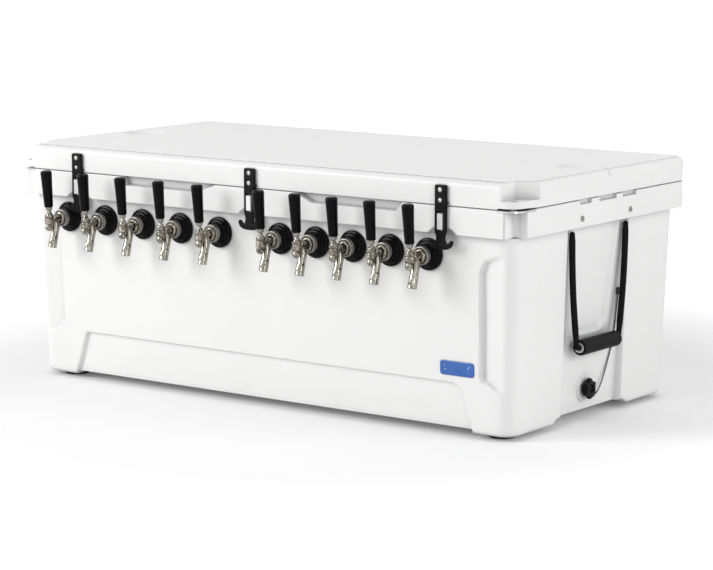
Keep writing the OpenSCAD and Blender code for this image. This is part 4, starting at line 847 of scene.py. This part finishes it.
# the strap's outline with its window, as a filled curve with rounded edges, stood up in front of the lid
def buildLatch(name, x0):
    c = latch
    right = np.array(c["right"])
    left = right[::-1].copy()
    left[:, 0] = -np.minimum(left[:, 0], np.where(left[:, 1] > 0, 11.3, 99))
    border = np.concatenate([right, left])
    w, top, low, footR = c["window"]
    a = np.radians(np.linspace(0, 90, 7))
    slotR = 1.6
    corners = ((1, top - slotR, slotR, 0), (-1, top - slotR, slotR, math.pi / 2),
               (-1, low + footR, footR, math.pi), (1, low + footR, footR, 1.5 * math.pi))
    hole = np.concatenate([np.stack([sx * (w - r) + r * np.cos(a + turned), sz + r * np.sin(a + turned)], 1)
                           for sx, sz, r, turned in corners])
    curve = bpy.data.curves.new(name, "CURVE")
    curve.dimensions, curve.fill_mode = "2D", "BOTH"
    curve.extrude = c["thick"] / 2000 - c["edge"] / 1000
    curve.bevel_depth, curve.bevel_resolution = c["edge"] / 1000, 2
    curve.offset = -c["edge"] / 1000
    for loop in (border, hole):
        line = curve.splines.new("POLY")
        line.points.add(len(loop) - 1)
        line.points.foreach_set("co", np.column_stack([loop / 1000, np.zeros(len(loop)),
                                                       np.ones(len(loop))]).ravel())
        line.use_cyclic_u = True
    holder = linked(name + "Line", curve)
    bpy.context.view_layer.update()
    mesh = bpy.data.meshes.new_from_object(holder.evaluated_get(bpy.context.evaluated_depsgraph_get()))
    bpy.data.objects.remove(holder)
    co = np.empty(len(mesh.vertices) * 3)
    mesh.vertices.foreach_get("co", co)
    co = co.reshape(-1, 3) * 1000
    placed = np.stack([x0 + co[:, 0], c["middle"] - co[:, 2], layout["seamZ"] + co[:, 1]], 1)
    faces = [list(p.vertices) for p in mesh.polygons]
    bpy.data.meshes.remove(mesh)
    piece = meshPiece(name, placed, faces, merge=1e-5)
    piece.data.set_sharp_from_angle(angle=math.radians(40))
    return piece


for word, x0 in zip(("left", "centre", "right"), latchXs):
    strap = buildLatch(f"{word}LatchStrap", x0)
    strap.data.materials.append(finishes["rubber"])
    at = lambda z: (x0 / 1000, (latch["middle"] + layout["shiftY"]) / 1000, z / 1000)
    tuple(at(latch["bend"][0]))
    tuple(at(latch["bend"][1]))
    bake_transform(strap)
    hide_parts(f"latch_{word}", *(["latch_anchors"] if word == "left" else []))
    rib = gridPiece(f"{word}LatchRib", [roundedBlock((x0 - 8, -293.4, 388.6), (x0 + 8, -291.6, 392.6), 0.8)])
    fitted(rib, f"{word}_latch", "black_rubber", "rubber")
print("latches built")


ropeHandle = {
    "x": 546.0, "topZ": 343.7, "gripZ": 137.0, "half": 89.0, "foot": 71.0, "turn": 8.0, "bulge": 4.5,
    "radius": 5.0, "legRadius": 5.8,
    "yarns": 6, "pitch": 15.0, "relief": 0.35,
    "gripHalf": [
        (9.2, -60.5), (12.2, -60.9), (13.3, -60), (13.9, -58), (14, -55), (14, -52.4), (13.6, -51.8),
        (13.6, -50.8), (14, -50.2), (13.9, -30)], "gripMiddle": (13.8, 0),
}


# the rope along its middle: two bowed legs, a quarter bend to each end of the grip and the run inside it,
# with a relief of crossing yarns and a map of length and angle for the braid
def buildRope(name, side):
    c = ropeHandle
    t = np.linspace(1, 0, 40)
    leg = np.stack([np.full(40, c["x"]),
                    c["foot"] + (c["half"] - c["foot"]) * t + c["bulge"] * np.sin(math.pi * t),
                    c["gripZ"] + c["turn"] + (c["topZ"] - c["gripZ"] - c["turn"]) * t], 1)
    a = np.radians(np.linspace(7.5, 90, 12))
    bend = np.stack([np.full(12, c["x"]), c["foot"] - c["turn"] * (1 - np.cos(a)),
                     c["gripZ"] + c["turn"] * (1 - np.sin(a))], 1)
    half = np.concatenate([leg, bend])
    path = resample(np.concatenate([half, half[::-1] * (1, -1, 1)]), 1.25) * (side, 1, 1)
    cap = np.array([0.15, 0.55, 0.85])
    low, top = smooth((path[:, 2] - c["gripZ"] - 14) / 16), smooth((c["topZ"] - 7 - path[:, 2]) / 12)
    radii = c["radius"] - 0.1 + (c["legRadius"] - c["radius"]) * low * top  # fuller between its ends
    radii[:3], radii[-3:] = radii[:3] * cap, radii[-3:] * cap[::-1]

    def relief(angle, run):
        one = np.sin(angle * c["yarns"] + run * 2 * math.pi / c["pitch"] * 2)
        two = np.sin(angle * c["yarns"] - run * 2 * math.pi / c["pitch"] * 2)
        return (np.maximum(one, two) - 1) * c["relief"]
    grid = sweep(path, radii, 36, (side, 0, 0), relief)
    piece = gridPiece(name, [grid])
    rows, cols = grid.shape[:2]
    layer = piece.data.uv_layers.new(name="run")
    run = np.concatenate([[0], np.cumsum(np.linalg.norm(np.diff(path, axis=0), axis=1))])
    pick = np.empty(len(piece.data.loops), np.int32)
    piece.data.loops.foreach_get("vertex_index", pick)
    body = np.minimum(pick, rows * cols - 1)
    u, v = run[body // cols] / c["pitch"] * 2, (body % cols) / cols
    layer.data.foreach_set("uv", np.stack([u, v], 1).ravel().astype(np.float32))
    return piece


for word, side in (("right", 1), ("left", -1)):
    body = f"{word}_handle"
    fitted(buildRope(f"{word}Rope", side), body, "black_rope", "rope", f"rope_{word}")
    half = ropeHandle["gripHalf"]
    profile = half + [ropeHandle["gripMiddle"]] + [(r, -z) for r, z in half[::-1]]
    gripGrid = lathe(profile, (side * ropeHandle["x"], 0, ropeHandle["gripZ"]), (0, 1, 0), 64)
    grip = gridPiece(f"{word}Grip", [gripGrid], loopRows=True)
    evenShade(fitted(grip, body, "black_rubber", "gripRubber", f"grip_{word}"))
print("rope handles built")


drain = {
    "flange": [
        (11.6, -24), (11.8, -2), (11.8, -0.4), (23.2, 0), (24, 0.4), (24, 2.2), (23.6, 3.2), (22.6, 3.9),
        (21, 4), (14, 4), (12, 3.8), (10.4, 3.2), (9.4, 2), (9.2, 0), (9.2, -24)],
    "plug": [(0.1, -14), (8.6, -14), (8.9, -13), (8.9, 4.1), (9.8, 4.3), (10, 5), (10, 7.8), (13, 8.1),
             (15.6, 8.6), (16.2, 9.6), (16.3, 12), (16.2, 15.4), (15.6, 16.8), (14.2, 17.6), (11, 17.9),
             (9, 17.8), (8.2, 17.3), (7.9, 16), (7.7, 15.2), (0.1, 14.9)],
}
drainAt = layout["drain"]
lobes = lambda angle, along: 2.6 * np.cos(angle * 6) * band(along, 8.4, 17.4, 1.6)
flange = gridPiece("drainFlange", [lathe(drain["flange"], drainAt, (1, 0, 0), 72)], loopRows=True)
evenShade(fitted(flange, "cooler", "white_plastic", "whitePlastic", "drain_fitting"))
cap = gridPiece("drainCap", [lathe(drain["plug"], drainAt, (1, 0, 0), 96, lobes)])
evenShade(fitted(cap, "plug", "black_plastic", "blackPlastic", "drain_plug"))

badge = {"x": 428.0, "z": 118.0, "size": (34.5, 12.5, 5.0), "thick": 2.0}


# rings from the plate's edge to its middle, with a groove inside its border, laid on the leaning wall
def buildBadge():
    c = badge
    halfX, halfZ, r = c["size"]
    cols = ringColumns(np.linspace(-28, 28, 15), np.linspace(-7, 7, 5), 8)
    inset = np.array([0.0, 0, 0, 0.25, 0.7, 1.4, 2.0, 2.3, 2.8, 4, 7, 10])
    up = np.array([0.0, 0.6, 1.1, 1.45, 1.65, 1.7, 1.7, 1.55, 1.62, 1.75, 1.9, 2.0])
    flat = outline(cols, halfX - inset, halfZ - inset, np.maximum(r - inset, 0.6))
    lean = math.atan(chest["lean"][1] / chest["height"])
    wallY = wallAt(c["z"])[1]
    x, h = c["x"] + flat[..., 0], flat[..., 1]
    out = (0.3 + up)[:, None] * np.ones(len(cols))
    y = -wallY - h * math.sin(lean) - out * math.cos(lean)
    z = c["z"] + h * math.cos(lean) - out * math.sin(lean)
    return gridPiece("badgePlate", [np.stack([x, y, z], -1)])


evenShade(fitted(buildBadge(), "cooler", "blue_badge", "badge", "front_badge"))

heads = {
    "side": [(s * 560.0, y, 366.0) for s in (-1, 1) for y in (-80.0, 80.0)],
    "sideSize": (4.9, 2.2),  # radius, dome
    "latch": [(x, -291.2, z) for x in latchXs for z in (408.0, 426.0)], "latchSize": (3.3, 2.4),
}


# a domed head: radius runs outwards over the dome, and a cross recess is pressed in by angle
def screwHead(origin, axis, radius, dome):
    r = np.array([0.02, 0.3, 0.6, 0.9, 1.3, 1.7, 2.1, 2.5, 3.1, 3.8, 4.4, 4.75, 4.9, 4.9]) / 4.9 * radius
    h = dome * np.sqrt(np.clip(1 - (r / radius) ** 2 * 0.86, 0, 1))
    h[-1] = -0.2
    sides = 64
    grid = lathe(np.stack([r, h], 1), origin, axis, sides)
    angle = np.arange(sides) * 2 * math.pi / sides + math.pi / sides
    u, v = r[:, None] * np.cos(angle), r[:, None] * np.sin(angle)
    arm = 0.11 * radius
    reach = 0.52 * radius
    cross = np.maximum(band(u, -arm, arm, 0.4) * (np.abs(v) < reach),
                       band(v, -arm, arm, 0.4) * (np.abs(u) < reach))
    return grid - (cross * dome * 0.75)[..., None] * np.array(axis, float)


sideHeads = [screwHead(p, (math.copysign(1, p[0]), 0, 0), *heads["sideSize"]) for p in heads["side"]]
fitted(gridPiece("handleScrewHeads", sideHeads), "cooler", "steel", "screwSteel")
latchHeads = [screwHead(p, (0, -1, 0), *heads["latchSize"]) for p in heads["latch"]]
fitted(gridPiece("latchScrewHeads", latchHeads), "lid", "steel", "steel")
print("small parts built")


studio = {
    "world": 0.46,
    "lamps": {  # place, power, width and height
        "front light": ((-2.4, -3.2, 1.9), 98.0, 2.0, 2.0),
        "end light": ((3.5, 1.0, 1.4), 33.0, 1.6, 1.6),
        "top light": ((0.2, 0.6, 3.4), 18.0, 2.2, 2.2),
        "edge light": ((1.95, -0.98, 0.52), 3.0, 0.16, 1.0)},
    "aim": (0, 0, 0.2), "floorHalf": 9.0, "floorGlow": (0.1, 0.7, 0.75, 2.0),
}


for name, (place, power, width, height) in studio["lamps"].items():
    lamp = bpy.data.lights.new(name, "AREA")
    lamp.shape = "RECTANGLE"
    lamp.energy, lamp.size, lamp.size_y = power, width, height
    holder = linked(name, lamp)
    holder.location = place
    holder.visible_camera = False
    holder.rotation_mode = "QUATERNION"
    holder.rotation_quaternion = (Vector(studio["aim"]) - Vector(place)).to_track_quat("-Z", "Y")

world = bpy.data.worlds.new("white studio")
bpy.context.scene.world = world
world.use_nodes = True
tree = world.node_tree
tree.nodes.clear()
rays = addNode(tree, "ShaderNodeLightPath")
seen = maths(tree, "MAXIMUM", rays.outputs["Is Camera Ray"], rays.outputs["Is Glossy Ray"])
seen = maths(tree, "MAXIMUM", seen, rays.outputs["Is Transmission Ray"])
sky = addNode(tree, "ShaderNodeBackground")
sky.inputs["Color"].default_value = (1, 1, 1, 1)
tree.links.new(maths(tree, "MULTIPLY_ADD", seen, 1 - studio["world"], studio["world"]), sky.inputs["Strength"])
tree.links.new(sky.outputs[0], addNode(tree, "ShaderNodeOutputWorld").inputs["Surface"])

half = studio["floorHalf"]
floorMesh = bpy.data.meshes.new("studioFloor")
floorMesh.from_pydata([(-half, -half, 0), (half, -half, 0), (half, half, 0), (-half, half, 0)], [],
                      [(0, 1, 2, 3)])
floor = linked("studioFloor", floorMesh)
paper = bpy.data.materials.new("white paper")
paper.use_nodes = True
paperTree = paper.node_tree
surface = paperTree.nodes["Principled BSDF"]
for label, value in {"Base Color": (0.93, 0.93, 0.93, 1), "Roughness": 0.9, "Specular IOR Level": 0.1,
                     "Emission Color": (1, 1, 1, 1)}.items():
    surface.inputs[label].default_value = value
paperRays = addNode(paperTree, "ShaderNodeLightPath")
away = addNode(paperTree, "ShaderNodeVectorMath", operation="LENGTH")
paperTree.links.new(objectPlace(paperTree), away.inputs[0])
# the floor fades into the white background
glow = rangeOf(paperTree, away.outputs["Value"], *studio["floorGlow"])
seenGlow = maths(paperTree, "MULTIPLY", paperRays.outputs["Is Camera Ray"], glow)
paperTree.links.new(seenGlow, surface.inputs["Emission Strength"])
floorMesh.materials.append(paper)
bpy.context.scene.view_settings.view_transform = "Standard"

print("scene ready")
